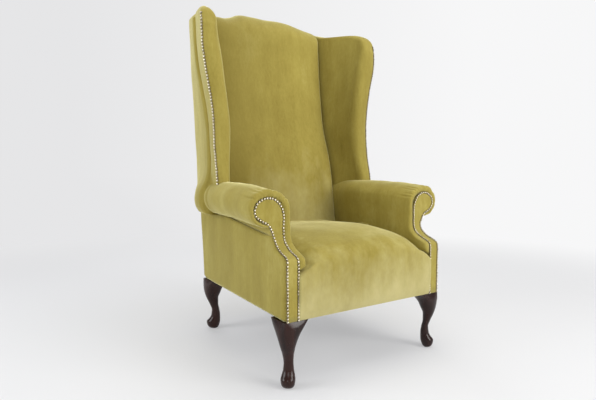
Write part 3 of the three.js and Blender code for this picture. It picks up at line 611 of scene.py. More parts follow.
armPad = {
    "steps": 8,
    "turns": 16,
    "rows": 52,
    "floor": base["deck"],
    "wallGap": 14,
    "sink": 5,
    "uneven": 2.4,
    "earLow": 352,
    "earRise": 26,
    "closeDepth": 14,
    "behind": 4,
    "rearGap": 7,
    # share of the rim, how far it is drawn in to the nails, how far behind the board's back it is
    "rim": [
        (0, 1.35, 7), (0.1, 1.12, 3), (0.2, 0.93, 0.2), (0.32, 0.78, -3), (0.45, 0.58, -6),
        (0.57, 0.38, -7.4), (0.69, 0.19, -6.4), (0.79, 0.07, -2.8), (0.87, 0.015, 2.4),
        (0.94, 0, 10), (1, 0, 20),
    ],
    "creases": 12,
    "creaseFrom": 0.17,
    "creaseOver": 0.58,
    "creaseStray": (0.1, 0.9),
    "creaseWide": (0.005, 0.012),
    "creaseDeep": (1.2, 4.2),
    "creaseLong": (14, 54),
    "creasePeak": 4,
    "crowd": 0.4,  # how much closer the rows lie near the front
    "innerFrom": 0.62,
    "innerOver": 32,
    "innerTo": 0.3,
    "puffedBelow": 0.85,
    "unevenSize": 70,
    "settle": 60,
    "seeds": {"left": 3.1, "right": 8.7},
}


# Below its ear the arm's padding stays behind the board's inner edge, where the seat covers it
def earShare(z):
    return smoothStep((z - armPad["earLow"]) / armPad["earRise"])


# Small folds that fan out from the nails round the scroll
def armCreases(seed):
    chance = random.Random(seed)
    creases = []
    for i in range(armPad["creases"]):
        stray = chance.uniform(*armPad["creaseStray"])
        at = armPad["creaseFrom"] + armPad["creaseOver"] * (i + stray) / armPad["creases"]
        spans = [armPad[key] for key in ("creaseWide", "creaseDeep", "creaseLong")]
        creases.append((at, *(chance.uniform(*span) for span in spans)))
    return creases


# The padded arm as one closed form. Behind the board its rounding comes out from under the
# nails and swells a little ahead of them.
def armRings(seed):
    rings = []
    rim, turns = armPad["rim"], armPad["turns"]
    rows = [(0, *(readTable(rim, turn / turns, i) for i in (1, 2))) for turn in range(turns + 1)]
    for row in range(1, armPad["rows"] + 1):
        share = row / armPad["rows"]
        rows.append((mix(share, share**2, armPad["crowd"]), 0, arm["tuckDepth"] * (1 - share)))
    creases = armCreases(seed)
    steps = armPad["steps"]
    for along, tuck, ahead in rows:
        station = armStation(along)
        outline = armOutline(station, tuck, armPad["floor"])
        grooveX, grooveZ = outline[0]
        hidden = [
            (grooveX - armPad["wallGap"] * 2, armPad["floor"]),
            (grooveX - armPad["wallGap"], grooveZ - armPad["wallGap"] * 1.5),
            (grooveX - armPad["sink"], grooveZ - armPad["sink"]),
        ]
        loop = smoothLoop(hidden + outline, steps)
        innerStart = len(loop) * armPad["innerFrom"]
        squeeze = arm["tuckInner"] * (1 - max(tuck, 0)) if along < armPad["innerTo"] else 0
        ring = []
        for i, (x, z) in enumerate(loop):
            inner = smoothStep((i - innerStart) / armPad["innerOver"])
            held = 1 - earShare(z) * smoothStep((i - 3 * steps) / steps)
            y = mix(armFront(z), rearY(z) - armPad["rearGap"], along)
            y += mix(ahead, max(ahead, armPad["behind"]), held)
            x += (1 - earShare(z)) * inner * squeeze
            back = max(0, y - armFront(z))
            push = armPad["uneven"] * unevenness(x, y, z, armPad["unevenSize"], seed)
            push *= smoothStep(back / armPad["settle"])
            for at, wide, deep, long in creases:
                fold = bump(i / len(loop), at, wide) * bump(back, armPad["creasePeak"], long)
                push -= deep * fold
            centreX, centreZ = station["lobeX"], station["lobeZ"]
            reach = max(math.hypot(x - centreX, z - centreZ), 1)
            if i > steps * 3 and tuck < armPad["puffedBelow"]:
                x += push * (x - centreX) / reach
                z += push * (z - centreZ) / reach
            ring.append((x, y, z))
        rings.append(ring)
    return [closedFront(rings[0])] + rings


# Folds the front ring flat behind the board: each point meets its mate half way
def closedFront(ring):
    last = len(ring) - armPad["steps"]
    folded = []
    for i, (x, y, z) in enumerate(ring):
        mateX, mateY, mateZ = ring[(last - i) % len(ring)]
        middle = (z + mateZ) / 2
        folded.append(((x + mateX) / 2, armFront(middle) + armPad["closeDepth"], middle))
    return folded


def shown(piece, slot, *nodes):
    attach(piece, body)
    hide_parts(*nodes)
    return piece


for name, side in sides.items():
    rings = mirrorRings(armRings(armPad["seeds"][name]), side)
    pad = finishMesh("armPad_" + name, ringMesh(rings), velvet)
    shown(pad, "velvet", "arm_cover_" + name, "arm_foam_" + name)
print("arm pads made")

# Outside arm: a flat panel below the roll, turned in at all its edges
panel = {
    "columns": 60,
    "rows": 34,
    "thick": 5,
    "round": 5,
    "stand": 4.5,
    "swell": 2.2,
    "cornerRound": 26,
    "gap": 0.6,
    "uneven": 1.6,
    "unevenSize": 90,
    "seeds": {"left": 1.3, "right": 6.1},
}


def panelTop(y):
    along = clampUnit((y - armFront(arm["neck"])) / (rearY(arm["neck"]) - armFront(arm["neck"])))
    groove = readTable(arm["stations"], along, 4)
    return arm["break"] + arm["groove"] * groove - panel["gap"]


def panelRings(seed):
    low = -base["front"] + arm["board"]
    neck = rearY(arm["neck"])

    # the front edge follows the board, the rear edge the leaning rear plane
    def spot(up, along):
        y = mix(low, base["rear"], along)
        bottom = base["bottom"] + roundOff(base["rear"] - y, panel["cornerRound"])
        top = panelTop(mix(armFront(arm["break"]), neck, along))
        z = mix(bottom, top, up)
        y = mix(armFront(z), rearY(z), along)
        if along == 0:
            z = min(z, panelTop(y))
        inset = roundOff(min(z - bottom, top - z, rearY(z) - y), panel["round"])
        fromFront = y - armFront(z)
        if fromFront < arm["tuckDepth"]:
            left = 1 - fromFront / arm["tuckDepth"]
            inset += (arm["tuckWall"] + panel["stand"]) * (1 - math.sqrt(max(0, 1 - left**2)))
        middle = math.sin(math.pi * up)
        swell = panel["swell"] * math.sin(math.pi * along) * middle
        soft = panel["uneven"] * unevenness(200, y, z, panel["unevenSize"], seed) * middle
        return (wallX(y) + panel["stand"] - inset + swell + soft, y, z)

    return gridRings(panel["rows"], panel["columns"], spot)


# A sheet of rings given its thickness on the side away from outward
def shellMesh(rings, thick, outward):
    mesh = ringMesh(rings, closed=False, capped=False)
    bmesh.ops.recalc_face_normals(mesh, faces=mesh.faces)
    mesh.normal_update()
    if sum(face.normal.dot(outward) for face in mesh.faces) < 0:
        bmesh.ops.reverse_faces(mesh, faces=mesh.faces)
    bmesh.ops.solidify(mesh, geom=mesh.faces[:], thickness=thick * millimetre)
    return mesh


for name, side in sides.items():
    rings = mirrorRings(panelRings(panel["seeds"][name]), side)
    shell = shellMesh(rings, panel["thick"], Vector((side, 0, 0)))
    outside = finishMesh("armPanel_" + name, shell, velvet)
    shown(outside, "velvet", "outside_arm_" + name)
print("arm panels made")

# Front boards of the arms, covered tightly, with a nail row along their edge
facing = {
    "across": 14,
    "steps": 4,
    "thick": 4,
    "round": 2.4,
    "gap": 0.3,
    "reach": 3.2,
    "hem": 0.5,  # its lowest line, above the frame's bottom
    # the nailed outline, from the outer bottom corner up and round, then down the inner side;
    # its first and last points only carry the straight ends on
    "path": [
        (329.8, 120), (329.8, 213), (329.8, 330), (329.8, 385), (328, 400), (326.6, 415),
        (325.6, 430), (325.4, 446), (327, 459), (331, 471), (337, 483), (344, 494.5),
        (355, 502), (367, 507.5), (379, 515), (388.5, 524), (392.8, 534), (393, 544),
        (390, 553), (384.5, 561.5), (374.5, 570), (359, 577), (343, 578.8), (327, 575.3),
        (313, 566.5), (304, 557), (298, 547), (294, 537), (291.8, 527), (290.8, 517),
        (290.7, 508), (290.8, 500), (291.2, 493), (291.7, 486), (291.2, 478), (291, 470),
        (290.8, 460), (290.8, 446), (290.8, 430), (290.8, 415), (290.8, 400), (290.8, 385),
        (290.8, 330), (290.8, 213), (290.8, 120),
    ],
}


def insetLoop(points, inset):
    count = len(points)
    area = sum(
        points[i][0] * points[(i + 1) % count][1] - points[(i + 1) % count][0] * points[i][1]
        for i in range(count)
    )
    turn = math.copysign(1, area)
    normals = []
    for i in range(count):
        ax, ay = points[i]
        bx, by = points[(i + 1) % count]
        length = max(math.hypot(bx - ax, by - ay), tiny)
        normals.append((-turn * (by - ay) / length, turn * (bx - ax) / length))
    moved = []
    for i, (x, y) in enumerate(points):
        (px, py), (nx, ny) = normals[i - 1], normals[i]
        spread = max(1 + px * nx + py * ny, sharpest)
        moved.append((x + inset * (px + nx) / spread, y + inset * (py + ny) / spread))
    return moved


# The outline as an open run from one bottom corner to the other
def boardRun(inset, steps):
    loop = smoothLoop(insetLoop(facing["path"], inset), steps)
    return loop[steps : len(loop) - 2 * steps + 1]


def facingRings():
    rings = []
    run = boardRun(-facing["reach"], facing["steps"])
    low = base["bottom"] + facing["hem"]
    for row in range(len(run) // 2 + 1):
        (ax, az), (bx, bz) = run[row], run[len(run) - 1 - row]
        width = max(math.hypot(bx - ax, bz - az), 10 * tiny)
        ring = []
        for column in range(facing["across"] + 1):
            share = (1 - math.cos(math.pi * column / facing["across"])) / 2
            x, z = mix(ax, bx, share), mix(az, bz, share)
            edge = min(share, 1 - share) * width
            drop = roundOff(edge, facing["round"])
            y = armFront(z) - facing["gap"] - facing["thick"] + drop
            z = max(z, low) if row else low
            ring.append((x, y, z))
        rings.append(ring)
    return rings


for name, side in sides.items():
    rings = mirrorRings(facingRings(), side)
    shell = shellMesh(rings, facing["thick"], Vector((0, -1, 0)))
    board = finishMesh("facing_" + name, shell, velvet)
    shown(board, "velvet", "arm_facing_" + name)
print("facings made")

# Nails: one small dome, repeated along a path
nail = {
    "pitch": 9.9,
    "radius": 4.5,
    "height": 4,
    "segments": 10,
    "rings": 8,
    "jitter": 0.25,
    "tilt": 0.07,
    "seed": 5,
    "slopeReach": 3,
    "cut": -0.1,  # what is below this share of the dome goes
    # the skirt is dark: patina at the rim and painted shade between the nails
    "skirt": 0.6,  # faces below this share are the dull skirt
}


def nailRow(name, points, normals, node, seed, look=nail):
    chance = random.Random(seed)
    lengths = [0.0]
    for a, b in zip(points, points[1:]):
        lengths.append(lengths[-1] + (b - a).length)
    count = round(lengths[-1] / look["pitch"])
    mesh = bmesh.new()
    leg = 0
    for i in range(count + 1):
        distance = i * lengths[-1] / count
        while leg < len(points) - 2 and lengths[leg + 1] < distance:
            leg += 1
        share = (distance - lengths[leg]) / max(lengths[leg + 1] - lengths[leg], tiny)
        centre = points[leg].lerp(points[leg + 1], share)
        normal = normals[leg].lerp(normals[leg + 1], share).normalized()
        lean = Vector([chance.gauss(0, nail["tilt"]) for _ in range(3)])
        axis = (normal + lean).normalized()
        segments, rings = nail["segments"], nail["rings"]
        made = bmesh.ops.create_uvsphere(mesh, u_segments=segments, v_segments=rings, radius=1)
        low = [vert for vert in made["verts"] if vert.co.z < nail["cut"]]
        dome = [vert for vert in made["verts"] if vert.co.z >= nail["cut"]]
        bmesh.ops.delete(mesh, geom=low, context="VERTS")
        for face in {face for vert in dome for face in vert.link_faces}:
            # the lower faces take the dark skirt: patina and painted shade
            face.material_index = 1 if face.calc_center_median().z < nail["skirt"] else 0
        turn = axis.to_track_quat("Z", "Y")
        offset = Vector([chance.gauss(0, nail["jitter"]) for _ in range(3)])
        size = Vector((look["radius"], look["radius"], nail["height"]))
        for vert in dome:
            vert.co = place(*(turn @ (vert.co * size) + centre + offset))
    border = [edge for edge in mesh.edges if edge.is_boundary]
    bmesh.ops.holes_fill(mesh, edges=border, sides=0)
    row = finishMesh(name, mesh, nailBrass)
    row.data.materials.append(nailSkirt)
    return shown(row, "nail_brass", node)


for name, side in sides.items():
    points, normals = [], []
    for x, z in boardRun(0, facing["steps"]):
        y = armFront(z) - facing["gap"] - facing["thick"]
        reach = nail["slopeReach"]
        slope = (armFront(z + reach) - armFront(z - reach)) / (2 * reach)
        points.append(Vector((side * x, y, z)))
        normals.append(Vector((0, -1, slope)).normalized())
    nailRow("armNails_" + name, points, normals, "arm_nail_strip_" + name, nail["seed"] + side)
print("arm nails made")

# Seat
seat = {
    "half": 291.7,
    "bulge": 11,
    "rear": 150,
    "crown": 463,
    "crownDrop": 39,
    "brow": 424,
    "browDrop": 68,
    "tail": 440,
    "tailDrop": 16,
    "skin": 5,
    "steps": 5,
    "rows": 64,
    "gap": 1.2,
    # across, brow, crown, tail
    "across": [
        (0, 0, 0, 0), (0.41, 0.04, 0.1, 0.06), (0.69, 0.21, 0.36, 0.25),
        (0.84, 0.43, 0.67, 0.56), (0.91, 0.62, 0.85, 0.75), (1, 1, 1, 1),
    ],
    "border": [(0, 0), (0.75, 0.3), (1, 0.62), (0.55, 0.88)],
    "browRun": [(0.6, 0), (2.2, 0.55), (4.4, 0.92)],
    "crownShare": 0.52,
    "fallShare": 0.8,
    "uneven": 3.0,
    "unevenSize": 110,
    "sideRound": 8,
    "sideDeep": 14,
    "roundShare": 0.9,
    "earBack": 9,
    "earOver": 12,
    "hidden": 20,  # what lies lower than this over the deck stays even
    "settle": 60,
    "seed": 2.7,
}


# Half width that the arms leave for the seat at a point
def seatLimit(y, z):
    ahead = clampUnit((y - armFront(z) + seat["earBack"]) / seat["earOver"])
    filled = math.sqrt(max(0, 1 - (1 - ahead) ** 2)) * earShare(z)
    return innerX(y) + arm["tuckInner"] * (1 - filled) - seat["gap"]


def seatRings():
    rings = []
    for row in range(-seat["rows"], seat["rows"] + 1):
        across = math.sin(math.pi / 2 * abs(row) / seat["rows"])
        side = math.copysign(1, row)
        brow = seat["brow"] - seat["browDrop"] * readTable(seat["across"], across, 1)
        crown = seat["crown"] - seat["crownDrop"] * readTable(seat["across"], across, 2)
        rear = seat["tail"] - seat["tailDrop"] * readTable(seat["across"], across, 3)
        bulge = seat["bulge"] * brow / seat["brow"]
        front = -base["front"]
        soft = crown - brow
        outline = [(front - bulge * b, mix(base["bottom"], brow, r)) for b, r in seat["border"]]
        outline += [(front + soft * reach, mix(brow, crown, r)) for reach, r in seat["browRun"]]
        skin = seat["skin"]
        outline += [
            (mix(front, seat["rear"], seat["crownShare"]), crown),
            (mix(front, seat["rear"], seat["fallShare"]), mix(rear, crown, 0.5)),
            (seat["rear"], rear),
            (seat["rear"], base["deck"]),
            (0, base["deck"]),
            (front + 2 * skin, base["deck"]),
            (front + skin, base["deck"] - skin),
            (front + skin, base["bottom"] + skin),
            (front + skin, base["bottom"]),
        ]
        corners = {0: 2, len(outline) - 7: 8, len(outline) - 6: 8, len(outline) - 1: 2}
        ring = []
        for i, (y, z) in enumerate(smoothLoop(softCorners(outline, corners), seat["steps"])):
            x = seat["half"] * across
            limit = seatLimit(y, z)
            x -= (seat["half"] - limit) * across**4
            if y < -base["front"] + seat["sideDeep"]:
                y += roundOff(seat["half"] - x, seat["sideRound"]) * seat["roundShare"]
            lift = seat["uneven"] * unevenness(side * x, y, z, seat["unevenSize"], seat["seed"])
            lift *= 1 - across**6
            if z > base["deck"] + seat["hidden"]:
                up = smoothStep((y + base["front"]) / seat["settle"])
                z += lift * up
                y -= lift * (1 - up)
            ring.append((side * x, y, z))
        rings.append(ring)
    return rings


seatPad = finishMesh("seatPad", ringMesh(seatRings()), seatVelvet)
shown(seatPad, "velvet", "seat_cover", "seat_foam")
print("seat made")

# Back
back = {
    "half": 267.8,
    "crown": 24,
    "foot": 395,
    "footY": 97,
    "springY": 241,
    "ridgeY": 325,
    "spring": 1225,
    "fill": 0.55,
    "fillRise": 0.12,
    "round": 19,
    "roundRows": 8,
    "rows": 40,
    "steps": 5,
    "skin": 6,
    "rearAt": (1205, 1165, 1080, 960, 840, 720, 600, 500),
    "footTuck": 6,
    "uneven": 2.6,
    # height, depth
    "face": [
        (0, 0), (0.04, 0.03), (0.15, 0.105), (0.26, 0.19), (0.367, 0.31), (0.47, 0.5),
        (0.548, 0.66), (0.73, 0.82), (0.87, 0.905), (1, 0.96),
    ],
    # across from the sitter's right to the left, height
    "crest": [
        (-1, 1308), (-0.82, 1309), (-0.73, 1308), (-0.62, 1314), (-0.54, 1322), (-0.46, 1332),
        (-0.37, 1336), (-0.18, 1336), (0, 1334), (0.28, 1338), (0.44, 1336), (0.6, 1328),
        (0.77, 1320), (0.94, 1315), (1, 1313),
    ],
    "crestRound": 4,
    "rearFill": 0.6,
    "faceSteps": 14,
    "overTop": (150, 120, 90, 60, 30),
    "footCorner": 12,
    "crispFrom": 1215,
    "crispOver": 60,
    "unevenSize": 150,
    "settle": 60,
    "seed": 4.2,
}


def seamY(z):
    height = (z - back["foot"]) / (back["spring"] - back["foot"])
    return mix(back["footY"], back["springY"], readTable(back["face"], height, 1))


def backRow(across, side):
    top = readTable(back["crest"], side * across, 1)
    faceTop = 0
    outline = []
    for i in range(back["faceSteps"] + 1):
        height = i / back["faceSteps"]
        z = mix(back["foot"], back["spring"], height)
        fill = mix(math.sin(math.pi * clampUnit(height + back["fillRise"])), 1, back["fill"])
        faceTop = seamY(z) - back["crown"] * fill * (1 - across**3)
        outline.append((faceTop, z))
    rearTop = rearY(back["spring"]) - back["skin"]
    for degrees in back["overTop"]:
        angle = math.radians(degrees)
        reach = back["ridgeY"] - faceTop if math.cos(angle) < 0 else rearTop - back["ridgeY"]
        power = back["rearFill"] if math.cos(angle) > 0 else 1
        lift = (top - back["spring"]) * math.sin(angle) ** power
        outline.append((back["ridgeY"] + reach * math.cos(angle), back["spring"] + lift))
    outline.append((rearTop, back["spring"]))
    outline += [(rearY(z) - back["skin"], z) for z in back["rearAt"]]
    outline.append((rearY(back["foot"]) - back["skin"] - back["footTuck"], back["foot"]))
    return softCorners(outline, {0: back["footCorner"], len(outline) - 1: back["footCorner"]})


def backRings():
    edge = back["round"]
    places = [mix(0, back["half"] - edge, i / back["rows"]) for i in range(back["rows"] + 1)]
    insets = [0.0] * len(places)
    for i in range(1, back["roundRows"] + 1):
        angle = math.pi / 2 * i / back["roundRows"]
        places.append(back["half"] - edge + edge * math.sin(angle))
        insets.append(edge * (1 - math.cos(angle)))
    half = list(zip(places, insets))
    stations = [(-x, inset) for x, inset in reversed(half)] + half[1:]
    rings = []
    for x, inset in stations:
        across = abs(x) / back["half"]
        side = math.copysign(1, x)
        outline = backRow(across, side)
        ring = []
        full = smoothLoop(outline, back["steps"])
        small = smoothLoop(insetLoop(outline, inset), back["steps"]) if inset else full
        for (y, z), (smallY, smallZ) in zip(full, small):
            crisp = smoothStep((z - back["crispFrom"]) / back["crispOver"])
            share = 1 - crisp * (1 - back["crestRound"] / back["round"])
            y, z = mix(y, smallY, share), mix(z, smallZ, share)
            soft = back["uneven"] * unevenness(x, y, z, back["unevenSize"], back["seed"])
            soft *= 1 - across**8
            ring.append((x, y - soft * smoothStep((rearY(z) - y) / back["settle"]), z))
        rings.append(ring)
    return rings


backPad = finishMesh("backPad", ringMesh(backRings()), backVelvet)
shown(backPad, "velvet", "inside_back_cover", "back_foam")
print("back made")

# Outside back: a flat cloth panel closed along its edges
outsideBack = {
    "half": 284.5,
    "low": 212,
    "high": 1227,
    "thick": 4,
    "stand": 2.4,
    "round": 3,
    "roundShare": 0.9,
    "columns": 30,
    "rows": 50,
    "hollow": 0.8,
    "hollowShare": 0.6,
    "hollowSize": 160,
    "settle": 60,
    "seed": 5,
}


def outsideBackSpot(up, along):
    look = outsideBack
    z = mix(look["low"], look["high"], (1 - math.cos(math.pi * up)) / 2)
    x = look["half"] * -math.cos(math.pi * along)
    edge = min(look["half"] - abs(x), z - look["low"], look["high"] - z)
    drop = roundOff(edge, look["round"]) * look["roundShare"]
    uneven = look["hollowShare"] + unevenness(x, 0, z, look["hollowSize"], look["seed"])
    hollow = look["hollow"] * smoothStep(edge / look["settle"]) * uneven
    return (x, rearY(z) + look["stand"] - drop - hollow, z)


outsideBackRings = gridRings(outsideBack["rows"], outsideBack["columns"], outsideBackSpot)
backShell = shellMesh(outsideBackRings, outsideBack["thick"], Vector((0, 1, 0)))
backPanel = finishMesh("backPanel", backShell, velvet)
shown(backPanel, "velvet", "outside_back")
print("outside back made")

# Wings: each is one padded form. A crease runs down its outside, with fuller padding behind it
# that spreads out over the rear of the arm.
wing = {
    "foot": 497,
    "top": 1268,
    "root": 273,
    "nose": 9,
    "further": 3.2,
    "rearTuck": 2,
    "rows": 76,
    "topTurns": 9,
    "soft": 24,
    "rearSoft": 9,
    "steps": 5,
    "uneven": 1.8,
    "unevenSize": 85,
    "settle": 40,
    "footRound": 10,
    "footSoft": 0.3,
    "footRows": 6,
    "topSoft": 0.92,
    "hidden": 8,  # how far under the arm's wall the foot's front stays
    "lowFrom": 505,
    "lowOver": 70,
    # share of the thickness in from the edge, share of the nose ahead of it
    "front": [(0.25, 0.9), (0.55, 1), (0.82, 0.3), (0.98, -1.5)],
    "innerBack": 0.55,  # share of the thickness behind the edge where the inner face begins
    "bend": (0.45, 0.66),  # shares, across and in depth, of the inner face's bend
    # corners of the outline: the seam, the rear ones and the nailed edge
    "corners": (20, 6, 8, 4),
    "spineIn": 10,
    "spineBack": 0.35,
    "seeds": {"left": 5.5, "right": 9.9},
    # height, across to the nailed edge, depth of that edge, thickness
    "table": [
        (500, 366, -14, 54), (600, 366.2, -11, 56), (630, 366.5, -8.5, 58), (672, 366, -1, 63),
        (700, 365.3, 6, 65.5), (740, 365.2, 12.4, 69), (780, 364.7, 16.5, 72),
        (820, 364.6, 19, 74), (860, 366.2, 20.6, 74), (900, 369.8, 22, 73.5),
        (940, 375.3, 23.4, 74), (980, 382.2, 24.2, 75.5), (1020, 389.5, 24, 78),
        (1060, 396.3, 22, 79), (1100, 401.3, 20, 78), (1140, 404.8, 18.5, 75.5),
        (1180, 406.8, 18.6, 71), (1268, 407.5, 20, 62),
    ],
    # height, how far the rear corner stands out from the arm's wall
    "rear": [
        (498, 10), (520, 12), (560, 10), (600, 6), (650, 4), (700, 3.5), (1250, 3.5), (1330, 0),
    ],
    # height, how much of the lower spread there is
    "spread": [
        (498, 0.55), (510, 0.72), (530, 0.95), (555, 1.03), (580, 0.95), (600, 0.75),
        (625, 0.4), (650, 0.18), (690, 0.05), (740, 0),
    ],
    # from the rear corner to the nails: padding, lower spread
    "outside": [
        (0, 0, 0), (0.08, 3, 6), (0.18, 5, 16), (0.3, 6.5, 27), (0.42, 7, 36), (0.54, 7.5, 44),
        (0.65, 7, 43), (0.71, 5, 40), (0.74, 0.5, 36), (0.755, -4, 30), (0.775, -2.5, 14),
        (0.81, 0.5, 0), (0.88, 1, 0), (0.92, 0.8, 0), (0.96, 0.4, 0), (1, 0, 0),
    ],
    "creaseAt": 0.755,  # where the table above has the crease
    # height, share of the way from the rear corner to the nails at which the crease runs
    "crease": [
        (600, 0.765), (816, 0.755), (876, 0.71), (932, 0.68), (1024, 0.62), (1084, 0.555),
        (1172, 0.505), (1268, 0.48),
    ],
    # over the roll the padding reaches on to this share of the way, a lip above the roll
    "hem": {"share": 0.93, "lip": 3.4, "top": 640, "turn": 0.8},
    # start and length, in height, of the rows that the top's shape stretches, then in height and
    # in depth of the change from the front's rounding to the rear's
    "grow": (1030, 214),
    "softTop": (1000, 244),
    "softRear": (60, 120),
    # The right wing's top is lower. Least and most share of that, then start and length of its
    # changes: two across the wing and one in depth
    "droopShare": (0.3, 1.35),
    "droopOuter": (382, 50),
    "droopInner": (292, 30),
    "droopRear": (90, 80),
    # depth, how much lower
    "droop": [
        (0, 0), (20, 3), (40, 8), (60, 9), (100, 6), (150, 3), (200, 5), (270, 13), (330, 22),
        (440, 22),
    ],
    # depth, height of the top
    "topLine": [
        (-10, 1192), (8, 1199), (14, 1203), (19, 1209), (23, 1224), (27, 1235), (34, 1243),
        (49, 1254), (81, 1266), (125, 1272), (225, 1279), (300, 1303), (345, 1318), (390, 1316),
        (425, 1290),
    ],
    "nails": {
        "pitch": 10.8,
        "radius": 5,
        "foot": 615,
        "top": 1256,
        "count": 80,
        # how far ahead of the edge and outside it each side's nails are, and how far they face out
        "spot": {1: (14, -1), -1: (10, 9)},
        "faces": {1: 0.5, -1: 0.78},
        "forward": 1.4,
        "seed": 11,
        "overBack": 0.5,
        "overIn": 0.06,
        "overTilt": 0.9,
    },
}


def wingRow(z, side=-1):
    edgeX, edgeY, thick = [readTable(wing["table"], z, i) for i in (1, 2, 3)]
    edgeX += wing["further"] if side > 0 else 0
    return {
        "z": z,
        "edgeX": edgeX,
        "edgeY": edgeY,
        "thick": thick,
        "innerX": edgeX - thick,
        "rearX": base["halfRear"] + readTable(wing["rear"], z, 1),
    }


# How far out the arm's roll reaches at a depth and a height
def rollX(y, z):
    front = armFront(arm["neck"])
    station = armStation(clampUnit((y - front) / (rearY(arm["neck"] + arm["rise"]) - front)))
    over = station["radius"] ** 2 - (z - station["lobeZ"]) ** 2
    return station["lobeX"] + math.sqrt(over) if over > 0 else 0


def wingOutline(row):
    keys = ("z", "edgeX", "edgeY", "thick", "innerX", "rearX")
    z, edgeX, edgeY, thick, inner, rearX = (row[key] for key in keys)
    rear = rearY(z)
    low = 1 - smoothStep((z - wing["lowFrom"]) / wing["lowOver"])
    spread = readTable(wing["spread"], z, 1)
    hidden = base["halfRear"] - wing["hidden"]
    crease, seam = wing["creaseAt"], readTable(wing["crease"], z, 1)
    hem = wing["hem"]
    wall = []
    for nominal, swell, flare in wing["outside"][1:]:
        ahead = (1 - nominal) * (1 - seam) / (1 - crease)
        share = nominal * seam / crease if nominal < crease else 1 - ahead
        x = mix(rearX, edgeX, share) + swell + flare * spread
        y = mix(rear, edgeY, share)
        if nominal > crease:
            x = mix(x, min(x, hidden), low)
        if crease <= nominal < hem["share"] and z < hem["top"]:
            turned = smoothStep((nominal - hem["turn"]) / (hem["share"] - hem["turn"]))
            x = max(x, rollX(y, z) + mix(hem["lip"], -hem["lip"] / 2, turned))
        wall.append((x, y))
    front = []
    for inset, ahead in wing["front"]:
        x = edgeX - thick * inset
        front.append((mix(x, min(x, hidden), low), edgeY - wing["nose"] * ahead))
    bendX, bendY = wing["bend"]
    innerLow = mix(inner - 1, hidden - wing["hidden"], low)
    outline = [
        (min(inner - 1, innerLow), edgeY + thick * wing["innerBack"]),
        (mix(inner, wing["root"], bendX), mix(edgeY, seamY(z), bendY)),
        (wing["root"], seamY(z)),
        (wing["root"], rear - wing["rearTuck"]),
        (rearX, rear),
        *wall,
        *front,
    ]
    return softCorners(outline, dict(zip((2, 3, 4, 4 + len(wall)), wing["corners"])))


def wingSpine(row, x, y):
    thick = row["thick"]
    front = Vector((row["edgeX"] - thick / 2, row["edgeY"] + thick * wing["spineBack"]))
    root = wing["root"] + wing["spineIn"]
    seam, rear = Vector((root, seamY(row["z"]))), Vector((root, rearY(row["z"]) - wing["nose"]))
    point = Vector((x, y))
    found = []
    for start, end in ((front, seam), (seam, rear)):
        along = end - start
        share = clampUnit((point - start).dot(along) / along.length_squared)
        found.append(start + along * share)
    return min(found, key=lambda spot: (spot - point).length)


# The wing's rows: height, how far each draws in to the spine, how far it is up the rounded top
def wingStations():
    curve, foot, topRow = wing["footRound"], wing["foot"], wing["top"] - wing["soft"]
    stations = []
    for turn in range(wing["footRows"]):
        angle = math.pi / 2 * turn / wing["footRows"]
        soft = wing["footSoft"] * (1 - math.sin(angle))
        stations.append((foot + curve * (1 - math.cos(angle)), soft, 0))
    for i in range(wing["rows"] + 1):
        stations.append((mix(foot + curve, topRow, i / wing["rows"]), 0, 0))
    for turn in range(1, wing["topTurns"] + 1):
        angle = math.pi / 2 * turn / wing["topTurns"]
        stations.append((topRow, wing["topSoft"] * (1 - math.cos(angle)), math.sin(angle)))
    return stations


def wingRings(seed, side):
    rings = []
    for z, soft, lift in wingStations():
        row = wingRow(z, side)
        ring = []
        for x, y in smoothLoop(wingOutline(row), wing["steps"]):
            centre = wingSpine(row, x, y)
            edge = math.hypot(x - row["edgeX"], y - row["edgeY"])
            push = wing["uneven"] * unevenness(x, y, z, wing["unevenSize"], seed)
            push *= smoothStep(edge / wing["settle"])
            outward = Vector((x, y)) - centre
            if outward.length > 1:
                outward = (outward + outward.normalized() * push) * (1 - soft)
            finalX, finalY = centre.x + outward.x, centre.y + outward.y
            softHeight = mix(wing["soft"], wing["rearSoft"], fade(finalY, "softRear"))
            nominal = z + (wing["soft"] - softHeight) * fade(z, "softTop") + softHeight * lift
            ring.append((finalX, finalY, nominal + wingGrown(z, finalX, finalY, side)))
        rings.append(ring)
    return rings


# How far a place is past the start of one of the wing's changes, given as start and length
def fade(value, key):
    start, length = wing[key]
    return smoothStep((value - start) / length)


def wingGrown(z, x, y, side):
    droop = readTable(wing["droop"], y, 1) if side < 0 else 0
    outer, width = wing["droopOuter"]
    across = mix(*wing["droopShare"], smoothStep((outer - x) / width))
    droop *= mix(across, fade(x, "droopInner"), fade(y, "droopRear"))
    return (readTable(wing["topLine"], y, 1) - droop - wing["top"]) * fade(z, "grow")


# The nails follow the real edge of the padded form
def wingNailPath(side):
    look = wing["nails"]
    topRow = wing["top"] - wing["soft"]
    ahead, out = look["spot"][side]
    points, normals = [], []
    for i in range(look["count"] + 1):
        z = mix(look["foot"], look["top"], i / look["count"])
        row = wingRow(min(z, topRow), side)
        loop = smoothLoop(wingOutline(row), wing["steps"])
        spot = (row["edgeX"] + out, row["edgeY"] - ahead)
        x, y = loop[min(range(len(loop)), key=lambda k: math.dist(loop[k], spot))]
        over = max(0, z - wing["top"] + wing["soft"])
        y += over * look["overBack"]
        x -= over * look["overIn"]
        points.append(Vector((side * x, y, min(z, topRow) + wingGrown(z, x, y, side) + over)))
        outward = look["faces"][side]
        tilt = over / wing["soft"] * look["overTilt"]
        normals.append(Vector((side * outward, outward - look["forward"], tilt)).normalized())
    return points, normals


